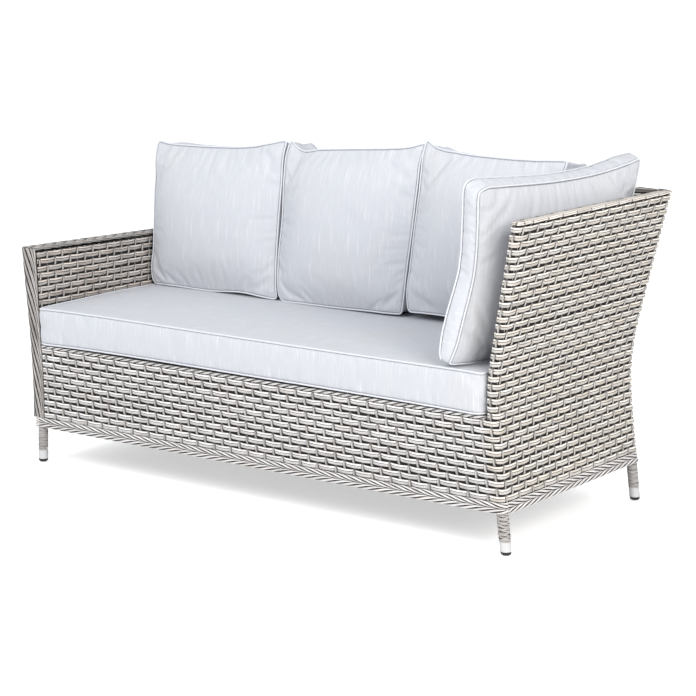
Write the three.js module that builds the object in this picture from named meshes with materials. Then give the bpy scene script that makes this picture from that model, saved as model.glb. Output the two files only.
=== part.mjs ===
// A woven garden sofa: a low arm on the left, a high flared end on the right, a leaning back,
// one long seat cushion, three loose back cushions and a side cushion that leans on the high end.
// Millimetres. X runs towards the high end, Y towards the back and Z up.

import * as THREE from 'three';

const degrees = THREE.MathUtils.degToRad;

// Driving dimensions of the whole sofa
const FOOT_SPAN_X = 1613;       // between the centres of the front feet
const FOOT_SPAN_Y = 658;        // between a front foot and the foot behind it
const BODY_BOTTOM = 105;        // lower edge of the woven body
const DECK_TOP = 355;           // woven deck that the seat cushion lies on
const ARM_TOP = 628;
const BACK_TOP = 850;

// Clearances
const TOUCH = 0.3;              // between pieces that bear on each other
const SLACK = 0.7;              // between a frame tube and the weave that goes round it
const SOFT_TOUCH = 0.6;         // between a cushion and what it lies against

// How each side of the frame leans: a straight lower run, one bend, and a straight upper run.
// Angles are from the vertical, positive away from the seat; the bend lies between two heights.
const END_LEAN = { lower: degrees(-6.8), upper: degrees(9.4), start: 320, end: 508 };
const BACK_LEAN = { lower: degrees(-1.1), upper: degrees(9.7), start: 220, end: 400 };
const ARM_LEAN = { lower: degrees(-2), upper: degrees(3.8), start: 150, end: 328 };
const UPRIGHT = { lower: 0, upper: 0, start: 220, end: 400 };
const BEND_STEPS = 5;

// Frame tube and flat bar
const TUBE_RADIUS = 11;
const TUBE_WALL = 1.5;
const TUBE_SIDES = 10;
const BAR_WIDTH = 20;
const BAR_THICKNESS = 5;

// Weave. WALL_HALF runs from the frame's centre line to the crest of the weave.
const WALL_HALF = 18;
const ARM_HALF_LOW = 20;        // the arm is a little thicker, and grows towards its top
const ARM_HALF_HIGH = 26;
const RIB_DEPTH = 3;
const ROW_PITCH = 19.05;
const CREST_SHARE = 0.45;       // height of a row's crest within the row
const INNER = TUBE_RADIUS + SLACK;

// Plaited edges
const BASE_BRAID_HEIGHT = 32;
const CAP_HEIGHT = 9;           // border along the top of the back and of the high end
const ARM_CAP_HEIGHT = 16;
const SKIRT_BORDER_HEIGHT = 8;
const BRAID_PROUD = 1.5;        // how far a plait stands out past the weave
const BRAID_GROOVE = 3;
const POINTS_PER_STRAND = 4;

// Seat deck
const DECK_THICKNESS = 6;
const DECK_RIB = 2;

// Feet
const GLIDE_RADIUS = 12.5;
const GLIDE_HEIGHT = 9;
const GLIDE_DOME = 2.5;
const STEM_RADIUS = 7.2;
const STEM_LENGTH = 10;
const FERRULE_LENGTH = 28;
const FERRULE_WALL = 2;
const ROUND_SIDES = 14;
const CANE_HEIGHT = 5;          // the cane wound round each leg is flattened
const CANE_THICKNESS = 3;
const CANE_GAP = 0.5;
const CANE_SIDES = 5;
const CANE_STEPS = 8;

// Cushions: height in their own plane, the gusset between the two seams, the crowns past the seams,
// and how far each side pulls in between its corners. Their widths follow from the sofa's own sizes.
const PIPING = 3;
const SEAT_CUSHION = { gusset: 105, front: 14, rear: 0, drawnIn: 3, overhang: 4 };
const BACK_CUSHION = { height: 456, gusset: 114, front: 55, rear: 90, drawnIn: 14 };
const SIDE_CUSHION = { height: 456, gusset: 50, front: 38, rear: 42, drawnIn: 12 };
const BACK_CUSHION_LEAN = degrees(8);
const SIDE_CUSHION_LEAN = degrees(8.5);
const SIDE_CUSHION_TURN = degrees(6.2);
const CUSHION_SPACING = 2;
const SIDE_CUSHION_SETBACK = 25;    // from the seat cushion's front edge to the side cushion's
const SIDE_CUSHION_REAR_GAP = 15.6; // between the side cushion's rear edge and the back
const BACK_ROW_END_GAP = 13;        // between the last back cushion and the side cushion's swell
const CROWN_POWER = 2.2;
const LAYING_PASSES = 4;

// Sizes that follow from those above
const Y_FRONT = -FOOT_SPAN_Y / 2;
const WEAVE_BOTTOM = BODY_BOTTOM + BASE_BRAID_HEIGHT;
const CAP_BOTTOM = BACK_TOP - CAP_HEIGHT;
const ARM_CAP_BOTTOM = ARM_TOP - ARM_CAP_HEIGHT;
const DECK_BOTTOM = DECK_TOP - DECK_THICKNESS;
const SKIRT_TOP = DECK_TOP - TOUCH - SKIRT_BORDER_HEIGHT;
const BASE_RAIL_Z = BODY_BOTTOM + BASE_BRAID_HEIGHT / 2;
const SEAT_RAIL_Z = DECK_BOTTOM - TOUCH - TUBE_RADIUS;
const ARM_RAIL_Z = ARM_CAP_BOTTOM - TOUCH - TUBE_RADIUS;
const TOP_RAIL_Z = CAP_BOTTOM - TOUCH - TUBE_RADIUS;
const SEAT_CUSHION_TOP = DECK_TOP + SOFT_TOUCH + SEAT_CUSHION.gusset;

const finish = (color, roughness, metalness = 0) =>
  new THREE.MeshStandardMaterial({ color, roughness, metalness });
const wicker = finish(0xc9c2b6, 0.55);
const plait = finish(0xa9a49b, 0.55);
const tubeFinish = finish(0xb9bab8, 0.45, 0.6);
const ferruleFinish = finish(0xe9ebec, 0.3, 0.4);
const glideFinish = finish(0x1b1b1c, 0.5);
const cloth = finish(0xcdd3dc, 0.95);

const sofa = new THREE.Group();
sofa.name = 'garden_sofa';

function add(name, geometry, material, parent = sofa) {
  const mesh = new THREE.Mesh(geometry, material);
  mesh.name = name;
  parent.add(mesh);
  return mesh;
}

// The lean of a side: how far it has moved from its foot at height z, and its slope there
function leanAt({ lower, upper, start, end }, z) {
  const change = Math.tan(upper) - Math.tan(lower);
  const into = THREE.MathUtils.clamp(z - start, 0, end - start);
  const past = Math.max(z - end, 0);
  return Math.tan(lower) * z + change * (into * into / (2 * (end - start)) + past);
}

function slopeAt({ lower, upper, start, end }, z) {
  const share = THREE.MathUtils.clamp((z - start) / (end - start), 0, 1);
  return THREE.MathUtils.lerp(Math.tan(lower), Math.tan(upper), share);
}

// The height from z upwards at which a side comes nearest to the seat
function nearestHeight({ lower, upper, start, end }, z) {
  const share = -Math.tan(lower) / (Math.tan(upper) - Math.tan(lower));
  return Math.max(z, start + (end - start) * THREE.MathUtils.clamp(share, 0, 1));
}

const xEnd = z => FOOT_SPAN_X / 2 + leanAt(END_LEAN, z);
const xArm = z => -FOOT_SPAN_X / 2 - leanAt(ARM_LEAN, z);
const yBack = z => FOOT_SPAN_Y / 2 + leanAt(BACK_LEAN, z);
const yFront = () => Y_FRONT;

// The four posts, each with the two sides that it leans with
const POSTS = {
  front_left: { x: xArm, y: yFront, leans: [ARM_LEAN, UPRIGHT], top: ARM_CAP_BOTTOM - TOUCH },
  rear_left: { x: xArm, y: yBack, leans: [ARM_LEAN, BACK_LEAN], top: CAP_BOTTOM - TOUCH },
  front_right: { x: xEnd, y: yFront, leans: [END_LEAN, UPRIGHT], top: CAP_BOTTOM - TOUCH },
  rear_right: { x: xEnd, y: yBack, leans: [END_LEAN, BACK_LEAN], top: CAP_BOTTOM - TOUCH },
};

// Triangles that fill an outline, each with its corners in the outline's own order
const fill = outline =>
  THREE.ShapeUtils.triangulateShape(outline, []).map(face => face.sort((a, b) => a - b));

// Closes a skin over a row of matching loops, whose outline gives the faces that fill both ends
function loft(loops, outline, faces = fill(outline)) {
  const count = outline.length;
  const last = (loops.length - 1) * count;
  const index = [];
  for (let start = 0; start < last; start += count) {
    for (let i = 0; i < count; i++) {
      const a = start + i;
      const b = start + (i + 1) % count;
      index.push(a, b, b + count, a, b + count, a + count);
    }
  }
  for (const [a, b, c] of faces) index.push(a, c, b, last + a, last + b, last + c);
  const points = loops.flat();
  if (enclosedVolume(points, index) < 0) index.reverse();
  const geometry = new THREE.BufferGeometry().setFromPoints(points);
  geometry.setIndex(index);
  geometry.computeVertexNormals();
  return geometry;
}

function enclosedVolume(points, index) {
  const across = new THREE.Vector3();
  let sum = 0;
  for (let i = 0; i < index.length; i += 3) {
    across.crossVectors(points[index[i + 1]], points[index[i + 2]]);
    sum += points[index[i]].dot(across);
  }
  return sum / 6;
}

// Heights at which a leaning piece gets a section: its ends, and steps through the bends
function sectionHeights(low, high, leans) {
  const heights = [low, high];
  for (const { start, end } of leans) {
    for (let i = 0; i <= BEND_STEPS; i++) {
      const z = THREE.MathUtils.lerp(start, end, i / BEND_STEPS);
      if (z > low + BAR_WIDTH && z < high - BAR_WIDTH) heights.push(z);
    }
  }
  heights.sort((a, b) => a - b);
  return heights.filter((z, i) => i === 0 || i === heights.length - 1 || z - heights[i - 1] > BAR_THICKNESS);
}

// A tube's centre line that passes through a post's place at each of the given heights
class PostCurve extends THREE.Curve {
  constructor(post, heights) {
    super();
    this.points = heights.map(z => new THREE.Vector3(post.x(z), post.y(z), z));
  }

  getPoint(t, target = new THREE.Vector3()) {
    const along = t * (this.points.length - 1);
    const i = Math.min(Math.floor(along), this.points.length - 2);
    return target.lerpVectors(this.points[i], this.points[i + 1], along - i);
  }

  getPointAt(u, target) {
    return this.getPoint(u, target);
  }

  getTangentAt(u, target) {
    return this.getTangent(u, target);
  }
}

const polygon = (radius, sides) => Array.from({ length: sides }, (_, i) =>
  new THREE.Vector2(radius, 0).rotateAround(new THREE.Vector2(), 2 * Math.PI * i / sides));

function tube(curve, steps) {
  const section = new THREE.Shape(polygon(TUBE_RADIUS, TUBE_SIDES));
  section.holes.push(new THREE.Path(polygon(TUBE_RADIUS - TUBE_WALL, TUBE_SIDES)));
  return new THREE.ExtrudeGeometry(section, { steps, extrudePath: curve });
}

const straightTube = (from, to) => tube(new THREE.LineCurve3(from, to), 1);

// A rail's end stops clear of a post that leans along the rail's direction
const postCut = slope => TUBE_RADIUS * (Math.hypot(1, slope) + Math.abs(slope)) + TOUCH;

function railAlongX(name, y, z) {
  const left = xArm(z) + postCut(slopeAt(ARM_LEAN, z));
  const right = xEnd(z) - postCut(slopeAt(END_LEAN, z));
  return add(name, straightTube(new THREE.Vector3(left, y, z), new THREE.Vector3(right, y, z)), tubeFinish);
}

function railAlongY(name, x, z) {
  const front = Y_FRONT + postCut(0);
  const rear = yBack(z) - postCut(slopeAt(BACK_LEAN, z));
  return add(name, straightTube(new THREE.Vector3(x, front, z), new THREE.Vector3(x, rear, z)), tubeFinish);
}

// A flat bar that stands in a wall and follows its lean; along is the wall's direction in plan
function standingBar(name, x, y, alongX, low, high, leans) {
  const halfX = (alongX ? BAR_WIDTH : BAR_THICKNESS) / 2;
  const halfY = (alongX ? BAR_THICKNESS : BAR_WIDTH) / 2;
  const corners = [[-halfX, -halfY], [halfX, -halfY], [halfX, halfY], [-halfX, halfY]];
  const loops = sectionHeights(low, high, leans).map(z =>
    corners.map(([dx, dy]) => new THREE.Vector3(x(z) + dx, y(z) + dy, z)));
  add(name, loft(loops, corners.map(([dx, dy]) => new THREE.Vector2(dx, dy))), tubeFinish);
}

function buildFrame() {
  for (const [corner, post] of Object.entries(POSTS)) {
    const tiltAt = z => Math.hypot(...post.leans.map(lean => slopeAt(lean, z)));
    const low = GLIDE_HEIGHT + TOUCH + TUBE_RADIUS * tiltAt(0);
    const heights = sectionHeights(low, post.top - TUBE_RADIUS * tiltAt(post.top), post.leans);
    add(`${corner}_post`, tube(new PostCurve(post, heights), heights.length - 1), tubeFinish);
  }

  for (const [level, z] of [['base', BASE_RAIL_Z], ['seat', SEAT_RAIL_Z]]) {
    railAlongX(`front_${level}_rail`, Y_FRONT, z);
    railAlongX(`rear_${level}_rail`, yBack(z), z);
    railAlongY(`left_${level}_rail`, xArm(z), z);
    railAlongY(`right_${level}_rail`, xEnd(z), z);
  }
  railAlongX('back_top_rail', yBack(TOP_RAIL_Z), TOP_RAIL_Z);
  railAlongY('end_top_rail', xEnd(TOP_RAIL_Z), TOP_RAIL_Z);
  railAlongY('arm_top_rail', xArm(ARM_RAIL_Z), ARM_RAIL_Z);

  const crossShares = [1 / 3, 2 / 3];
  crossShares.forEach((share, i) => {
    const x = THREE.MathUtils.lerp(xArm(SEAT_RAIL_Z), xEnd(SEAT_RAIL_Z), share);
    const front = new THREE.Vector3(x, Y_FRONT + TUBE_RADIUS + TOUCH, SEAT_RAIL_Z);
    const rear = new THREE.Vector3(x, yBack(SEAT_RAIL_Z) - TUBE_RADIUS - TOUCH, SEAT_RAIL_Z);
    add(`seat_cross_bar_${i + 1}`, straightTube(front, rear), tubeFinish);

    const xAt = z => THREE.MathUtils.lerp(xArm(z), xEnd(z), share);
    const overSeat = SEAT_RAIL_Z + TUBE_RADIUS + TOUCH;
    const underTop = TOP_RAIL_Z - TUBE_RADIUS - TOUCH;
    standingBar(`back_upright_${i + 1}`, xAt, yBack, true, overSeat, underTop, [BACK_LEAN]);
    const overBase = BASE_RAIL_Z + TUBE_RADIUS + TOUCH;
    const underSeat = SEAT_RAIL_Z - TUBE_RADIUS - TOUCH;
    standingBar(`front_upright_${i + 1}`, () => x, yFront, true, overBase, underSeat, []);
  });

  const midDepth = z => (Y_FRONT + yBack(z)) / 2;
  const low = SEAT_RAIL_Z + TUBE_RADIUS + TOUCH;
  standingBar('end_upright', xEnd, midDepth, false, low, TOP_RAIL_Z - TUBE_RADIUS - TOUCH, [END_LEAN]);
  standingBar('arm_upright', xArm, midDepth, false, low, ARM_RAIL_Z - TUBE_RADIUS - TOUCH, [ARM_LEAN]);
}

// A station is an upright section of a wall: it turns a height and a distance from the frame's
// centre line into a point. The weave of a wall is lofted from station to station.
const EAST = 0;
const NORTH = Math.PI / 2;
const WEST = Math.PI;
const SOUTH = -Math.PI / 2;
const sameWidth = (z, d) => d;

function armWidth(z, d) {
  const half = THREE.MathUtils.lerp(ARM_HALF_LOW, ARM_HALF_HIGH, THREE.MathUtils.smoothstep(z, DECK_TOP, ARM_TOP));
  const share = Math.max(0, (Math.abs(d) - INNER) / (WALL_HALF - INNER));
  return d + Math.sign(d) * share * (half - WALL_HALF);
}

// A station that stands round a post at a given angle in plan
function roundPost({ x, y }, angle, width = sameWidth) {
  return (z, d) => new THREE.Vector3(
    x(z) + width(z, d) * Math.cos(angle), y(z) + d * Math.sin(angle), z);
}

// Stations from one angle to another round a post, for a rounded corner
function cornerStations(post, from, to, width = sameWidth, steps = 3) {
  return Array.from({ length: steps + 1 }, (_, i) =>
    roundPost(post, THREE.MathUtils.lerp(from, to, i / steps), width));
}

const shifted = (station, dx, dy) => (z, d) => station(z, d).add(new THREE.Vector3(dx, dy, 0));

const loftStations = (profile, stations, faces) =>
  loft(stations.map(station => profile.map(({ x: z, y: d }) => station(z, d))), profile, faces);

// A woven wall between two heights: a low ridge for each row of weave outside, plain inside.
// Its ends are filled in short strips, so that they follow the wall's bend.
function wovenWall(low, high, leans, stations, side = 1) {
  const rows = Math.max(1, Math.round((high - low) / ROW_PITCH));
  const pitch = (high - low) / rows;
  const valley = WALL_HALF - RIB_DEPTH;
  const outside = [new THREE.Vector2(low, side * valley)];
  for (let row = 0; row < rows; row++) {
    outside.push(new THREE.Vector2(low + (row + CREST_SHARE) * pitch, side * WALL_HALF));
    outside.push(new THREE.Vector2(low + (row + 1) * pitch, side * valley));
  }
  const inside = sectionHeights(low, high, leans).map(z => new THREE.Vector2(z, side * INNER));
  const profile = [...outside, ...[...inside].reverse()];
  return loftStations(profile, stations, stripFaces(outside, inside, profile.length));
}

function stripFaces(outside, inside, count) {
  const faces = [];
  let [i, j] = [0, 0];
  while (i < outside.length - 1 || j < inside.length - 1) {
    const outsideNext = outside[i + 1]?.x ?? Infinity;
    const insideNext = inside[j + 1]?.x ?? Infinity;
    if (outsideNext <= insideNext) {
      faces.push([i, i + 1, count - 1 - j]);
      i++;
    } else {
      faces.push([i, count - 2 - j, count - 1 - j]);
      j++;
    }
  }
  return faces;
}

// Half-round strands side by side from one place to another, as heights above a base
function strandRow(from, to, strands, crest, groove) {
  const count = strands * POINTS_PER_STRAND;
  return Array.from({ length: count + 1 }, (_, i) => {
    const rise = Math.abs(Math.sin(Math.PI * i / POINTS_PER_STRAND));
    return new THREE.Vector2(THREE.MathUtils.lerp(from, to, i / count), groove + (crest - groove) * rise);
  });
}

function buildWeave() {
  const { front_right: FR, rear_right: RR, rear_left: RL } = POSTS;
  const capBottom = CAP_BOTTOM - TOUCH;
  const armCapBottom = ARM_CAP_BOTTOM - TOUCH;
  const deckEdge = DECK_TOP + TOUCH;
  const endLeans = [END_LEAN, BACK_LEAN];
  const armLeans = [ARM_LEAN, BACK_LEAN];

  add('front_skirt_weave', wovenWall(WEAVE_BOTTOM, SKIRT_TOP, [END_LEAN, ARM_LEAN], [
    (z, d) => new THREE.Vector3(xArm(z) + armWidth(z, WALL_HALF) + TOUCH, Y_FRONT - d, z),
    (z, d) => new THREE.Vector3(xEnd(z) - WALL_HALF - TOUCH, Y_FRONT - d, z),
  ]), wicker);

  add('end_outer_weave', wovenWall(WEAVE_BOTTOM, capBottom, endLeans, [
    (z, d) => new THREE.Vector3(xEnd(z) - WALL_HALF, Y_FRONT - d, z),
    ...cornerStations(FR, SOUTH, EAST),
    ...cornerStations(RR, EAST, NORTH),
  ]), wicker);
  add('back_outer_weave', wovenWall(WEAVE_BOTTOM, capBottom, endLeans, [
    shifted(roundPost(RR, NORTH), -TOUCH, 0),
    ...cornerStations(RL, NORTH, WEST, armWidth),
  ]), wicker);
  add('back_left_end_weave', wovenWall(ARM_CAP_BOTTOM, capBottom, [], [
    shifted(roundPost(RL, WEST, armWidth), 0, -TOUCH),
    ...cornerStations(RL, WEST, WEST + Math.PI / 2, armWidth).slice(1),
    (z, d) => new THREE.Vector3(xArm(z) + INNER, yBack(z) - d, z),
  ]), wicker);

  add('arm_outer_weave', wovenWall(WEAVE_BOTTOM, armCapBottom, armLeans, [
    shifted(roundPost(RL, WEST, armWidth), 0, -TOUCH),
    (z, d) => new THREE.Vector3(xArm(z) - armWidth(z, d), Y_FRONT - INNER + TOUCH, z),
  ]), wicker);
  add('arm_inner_weave', wovenWall(deckEdge, armCapBottom, armLeans, [
    (z, d) => new THREE.Vector3(xArm(z) + armWidth(z, d), yBack(z) - WALL_HALF - TOUCH, z),
    (z, d) => new THREE.Vector3(xArm(z) + armWidth(z, d), Y_FRONT - INNER + TOUCH, z),
  ]), wicker);
  add('end_inner_weave', wovenWall(deckEdge, capBottom, endLeans, [
    (z, d) => new THREE.Vector3(xEnd(z) + d, Y_FRONT - INNER + TOUCH, z),
    (z, d) => new THREE.Vector3(xEnd(z) + d, yBack(z) - WALL_HALF - TOUCH, z),
  ], -1), wicker);
  add('back_inner_weave', wovenWall(deckEdge, capBottom, endLeans, [
    (z, d) => new THREE.Vector3(xEnd(z) - INNER - TOUCH, yBack(z) + d, z),
    (z, d) => new THREE.Vector3(xArm(z) + INNER + TOUCH, yBack(z) + d, z),
  ], -1), wicker);
}

function buildDeck() {
  const front = Y_FRONT + TOUCH;
  const rear = yBack(DECK_BOTTOM) - BAR_THICKNESS / 2 - TOUCH;
  const left = xArm(DECK_TOP) + postCut(slopeAt(ARM_LEAN, DECK_TOP));
  const right = xEnd(DECK_TOP) - postCut(slopeAt(END_LEAN, DECK_TOP));
  const rows = Math.round((rear - front) / ROW_PITCH);
  const profile = [new THREE.Vector2(rear, DECK_BOTTOM), new THREE.Vector2(front, DECK_BOTTOM)];
  for (let i = 0; i <= 2 * rows; i++) {
    const y = THREE.MathUtils.lerp(front, rear, i / (2 * rows));
    profile.push(new THREE.Vector2(y, i % 2 ? DECK_TOP : DECK_TOP - DECK_RIB));
  }
  const loops = [left, right].map(x => profile.map(({ x: y, y: z }) => new THREE.Vector3(x, y, z)));
  add('seat_deck_weave', loft(loops, profile), wicker);
}

function buildBraids() {
  const { front_right: FR, rear_right: RR, rear_left: RL, front_left: FL } = POSTS;
  const proud = WALL_HALF + BRAID_PROUD;

  // The rope-laid braid round the bottom: two fat strands, one over the other
  const base = strandRow(BODY_BOTTOM, WEAVE_BOTTOM - TOUCH, 2, proud, proud - BRAID_GROOVE);
  base.push(new THREE.Vector2(WEAVE_BOTTOM - TOUCH, INNER), new THREE.Vector2(BODY_BOTTOM, INNER));
  add('front_base_braid', loftStations(base, [
    ...cornerStations(FL, WEST - 2 * Math.PI, SOUTH, armWidth),
    ...cornerStations(FR, SOUTH, EAST),
  ]), plait);
  add('end_base_braid', loftStations(base, [
    shifted(roundPost(FR, EAST), 0, TOUCH),
    ...cornerStations(RR, EAST, NORTH),
  ]), plait);
  add('back_base_braid', loftStations(base, [
    shifted(roundPost(RR, NORTH), -TOUCH, 0),
    ...cornerStations(RL, NORTH, WEST, armWidth),
  ]), plait);
  add('arm_base_braid', loftStations(base, [
    shifted(roundPost(RL, WEST, armWidth), 0, -TOUCH),
    shifted(roundPost(FL, WEST, armWidth), 0, TOUCH),
  ]), plait);

  // The border over the front edge of the deck, under the seat cushion
  const deckLip = strandRow(TOUCH, proud, 2, DECK_TOP - TOUCH, DECK_TOP - TOUCH - BRAID_GROOVE);
  const underLip = [[proud, SKIRT_TOP + TOUCH], [INNER, SKIRT_TOP + TOUCH], [INNER, DECK_BOTTOM], [TOUCH, DECK_BOTTOM]];
  const border = deckLip.concat(underLip.map(([d, z]) => new THREE.Vector2(d, z)));
  const borderLeft = xArm(SKIRT_TOP) + armWidth(DECK_TOP, WALL_HALF) + 2 * TOUCH;
  const borderRight = xEnd(DECK_TOP) - WALL_HALF - TOUCH;
  const borderLoops = [borderLeft, borderRight].map(x =>
    border.map(({ x: d, y: z }) => new THREE.Vector3(x, Y_FRONT - d, z)));
  add('skirt_top_border', loft(borderLoops, border), plait);

  // The plait down the front of the arm: four strands side by side
  const plaitRow = strandRow(-WALL_HALF, WALL_HALF, 4, proud, proud - BRAID_GROOVE);
  plaitRow.push(new THREE.Vector2(WALL_HALF, INNER), new THREE.Vector2(-WALL_HALF, INNER));
  const plaitLoops = sectionHeights(WEAVE_BOTTOM, ARM_CAP_BOTTOM - TOUCH, [ARM_LEAN, UPRIGHT]).map(z => {
    const half = armWidth(z, WALL_HALF);
    return plaitRow.map(({ x: u, y: d }) => new THREE.Vector3(xArm(z) + u / WALL_HALF * half, Y_FRONT - d, z));
  });
  add('arm_front_plait', loft(plaitLoops, plaitRow), plait);

  // The braid over the arm
  const armOver = ARM_HALF_HIGH + BRAID_PROUD;
  const armCap = strandRow(-armOver, armOver, 4, ARM_TOP, ARM_TOP - BRAID_GROOVE);
  armCap.push(new THREE.Vector2(armOver, ARM_CAP_BOTTOM), new THREE.Vector2(-armOver, ARM_CAP_BOTTOM));
  const armEnds = [Y_FRONT - proud, yBack(ARM_CAP_BOTTOM) - WALL_HALF - TOUCH];
  add('arm_top_braid', loft(armEnds.map(y =>
    armCap.map(({ x: d, y: z }) => new THREE.Vector3(xArm(z) + d, y, z))), armCap), plait);

  // The border along the top of the high end and of the back, mitred where they meet
  const capRow = strandRow(-proud, proud, 3, BACK_TOP, BACK_TOP - BRAID_GROOVE);
  const cap = capRow.map(({ x: d, y: z }) => new THREE.Vector2(z, d));
  cap.push(new THREE.Vector2(CAP_BOTTOM, proud), new THREE.Vector2(CAP_BOTTOM, -proud));
  const mitre = angle => (z, d) =>
    d > 0 ? roundPost(RR, angle)(z, d) : new THREE.Vector3(xEnd(z) + d, yBack(z) + d, z);
  add('end_top_border', loftStations(cap, [
    (z, d) => new THREE.Vector3(xEnd(z) + d, Y_FRONT - proud, z),
    mitre(EAST), mitre(NORTH / 4), mitre(NORTH / 2),
  ]), plait);
  add('back_top_border', loftStations(cap, [
    shifted(mitre(NORTH / 2), -2 * TOUCH, 0), shifted(mitre(NORTH * 3 / 4), -2 * TOUCH, 0),
    shifted(mitre(NORTH), -2 * TOUCH, 0),
    (z, d) => new THREE.Vector3(xArm(z) - ARM_HALF_HIGH - BRAID_PROUD, yBack(z) + d, z),
  ]), plait);
}

// A turned piece about the Z axis from a closed profile of radius and height
function turned(profile) {
  const points = profile.map(([radius, height]) => new THREE.Vector2(radius, height));
  return new THREE.LatheGeometry(points, ROUND_SIDES).rotateX(Math.PI / 2);
}

// Flattened cane wound round a leg in one unbroken run, straight at both ends for a cane's thickness
function windingGeometry(from, length) {
  const turns = Math.floor((length - CANE_HEIGHT) / (CANE_HEIGHT + CANE_GAP));
  const pitch = (length - CANE_HEIGHT) / turns;
  const radius = (TUBE_RADIUS + TOUCH) / Math.cos(Math.PI / CANE_STEPS) + CANE_THICKNESS / 2;
  const centres = Array.from({ length: turns * CANE_STEPS + 1 }, (_, i) => {
    const angle = 2 * Math.PI * i / CANE_STEPS;
    const height = from + CANE_HEIGHT / 2 + pitch * i / CANE_STEPS;
    return new THREE.Vector3(radius * Math.cos(angle), radius * Math.sin(angle), height);
  });
  const first = centres[0].clone().add(new THREE.Vector3(0, -CANE_THICKNESS, 0));
  const last = centres.at(-1).clone().add(new THREE.Vector3(0, CANE_THICKNESS, 0));
  console.log(`leg winding: ${turns} turns, ${leastTurnGap(centres, pitch).toFixed(2)} mm between turns`);
  const section = Array.from({ length: CANE_SIDES }, (_, i) => {
    const angle = 2 * Math.PI * i / CANE_SIDES;
    return new THREE.Vector2(CANE_THICKNESS / 2 * Math.cos(angle), CANE_HEIGHT / 2 * Math.sin(angle));
  });
  const ringAt = (centre, radial) => section.map(({ x, y }) =>
    centre.clone().addScaledVector(radial, x).add(new THREE.Vector3(0, 0, y)));
  const outwards = centre => new THREE.Vector3(centre.x, centre.y, 0).normalize();
  const loops = centres.map(centre => ringAt(centre, outwards(centre)));
  const rings = [ringAt(first, outwards(centres[0])), ...loops, ringAt(last, outwards(centres.at(-1)))];
  return loft(rings, section);
}

// The least distance between points of the run a whole turn or more apart, less the cane's height
function leastTurnGap(centres, pitch) {
  let least = pitch;
  for (let i = 0; i + CANE_STEPS < centres.length; i++) {
    for (let j = i + CANE_STEPS; j < centres.length; j++) {
      least = Math.min(least, centres[i].distanceTo(centres[j]));
    }
  }
  return least - CANE_HEIGHT;
}

function buildFeet() {
  const stemTop = GLIDE_HEIGHT + STEM_LENGTH;
  const glide = turned([
    [0, 0], [GLIDE_RADIUS - GLIDE_DOME, 0], [GLIDE_RADIUS, GLIDE_DOME], [GLIDE_RADIUS, GLIDE_HEIGHT - GLIDE_DOME / 2],
    [GLIDE_RADIUS - GLIDE_DOME / 2, GLIDE_HEIGHT], [STEM_RADIUS, GLIDE_HEIGHT], [STEM_RADIUS, stemTop], [0, stemTop],
  ]);
  const bore = TUBE_RADIUS + TOUCH;
  const outside = bore + FERRULE_WALL;
  const ferrule = turned([[bore, 0], [outside, 0], [outside, FERRULE_LENGTH], [bore, FERRULE_LENGTH], [bore, 0]]);

  for (const [corner, post] of Object.entries(POSTS)) {
    const foot = new THREE.Vector3(post.x(0), post.y(0), 0);
    const neck = new THREE.Vector3(post.x(BODY_BOTTOM), post.y(BODY_BOTTOM), BODY_BOTTOM);
    const direction = neck.clone().sub(foot).normalize();
    const tilt = Math.hypot(direction.x, direction.y) / direction.z;

    const glideMesh = add(`${corner}_glide`, glide.clone(), glideFinish);
    glideMesh.position.set(post.x(GLIDE_HEIGHT), post.y(GLIDE_HEIGHT), 0);

    const leg = new THREE.Group();
    leg.position.copy(foot);
    leg.quaternion.setFromUnitVectors(new THREE.Vector3(0, 0, 1), direction);
    sofa.add(leg);
    const ferruleLow = GLIDE_HEIGHT + 2 * TOUCH + outside * tilt;
    add(`${corner}_ferrule`, ferrule.clone(), ferruleFinish, leg).position.z = ferruleLow;
    const windingLow = ferruleLow + FERRULE_LENGTH + TOUCH;
    const reach = TUBE_RADIUS + TOUCH + CANE_THICKNESS;
    const windingHigh = (BODY_BOTTOM - TOUCH) / direction.z - reach * tilt - TOUCH;
    add(`${corner}_leg_winding`, windingGeometry(windingLow, windingHigh - windingLow), wicker, leg);
  }
}

// A cushion in its own plane: X is its width, Y its height from the bottom edge, Z from rear to front.
// Each loop is the outline drawn inwards by a distance, so the crown keeps its height along a long side.
function cushionOutline({ width, height, drawnIn }, inward) {
  const alongShares = [-1, -0.9, -0.6, -0.2, 0.2, 0.6, 0.9];
  const half = Math.min(width, height) / 2;
  const drawn = drawnIn * (1 - Math.max(inward, 0) / half);
  const sides = [[1, 0], [0, 1], [-1, 0], [0, -1]];
  return sides.flatMap(([ax, ay]) => alongShares.map(share => {
    const along = (ax ? width : height) / 2 - inward;
    const across = (ax ? height : width) / 2 - inward - drawn * (1 - share * share);
    const softened = share === -1 ? PIPING * Math.max(1 - inward / half, 0) : 0;
    const a = share * along + softened;
    const c = across - softened;
    return new THREE.Vector2(ax * a + ay * c, ay * a - ax * c + height / 2);
  }));
}

// How much of its full crown a cushion has at a place, 0 along the seams and 1 over the middle
function crownShare(width, height, x, y) {
  const reach = Math.min(width, height) / 2;
  const risen = distance => 1 - Math.pow(1 - THREE.MathUtils.clamp(distance / reach, 0, 1), CROWN_POWER);
  return risen(width / 2 - Math.abs(x)) * risen(height / 2 - Math.abs(y - height / 2));
}

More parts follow.
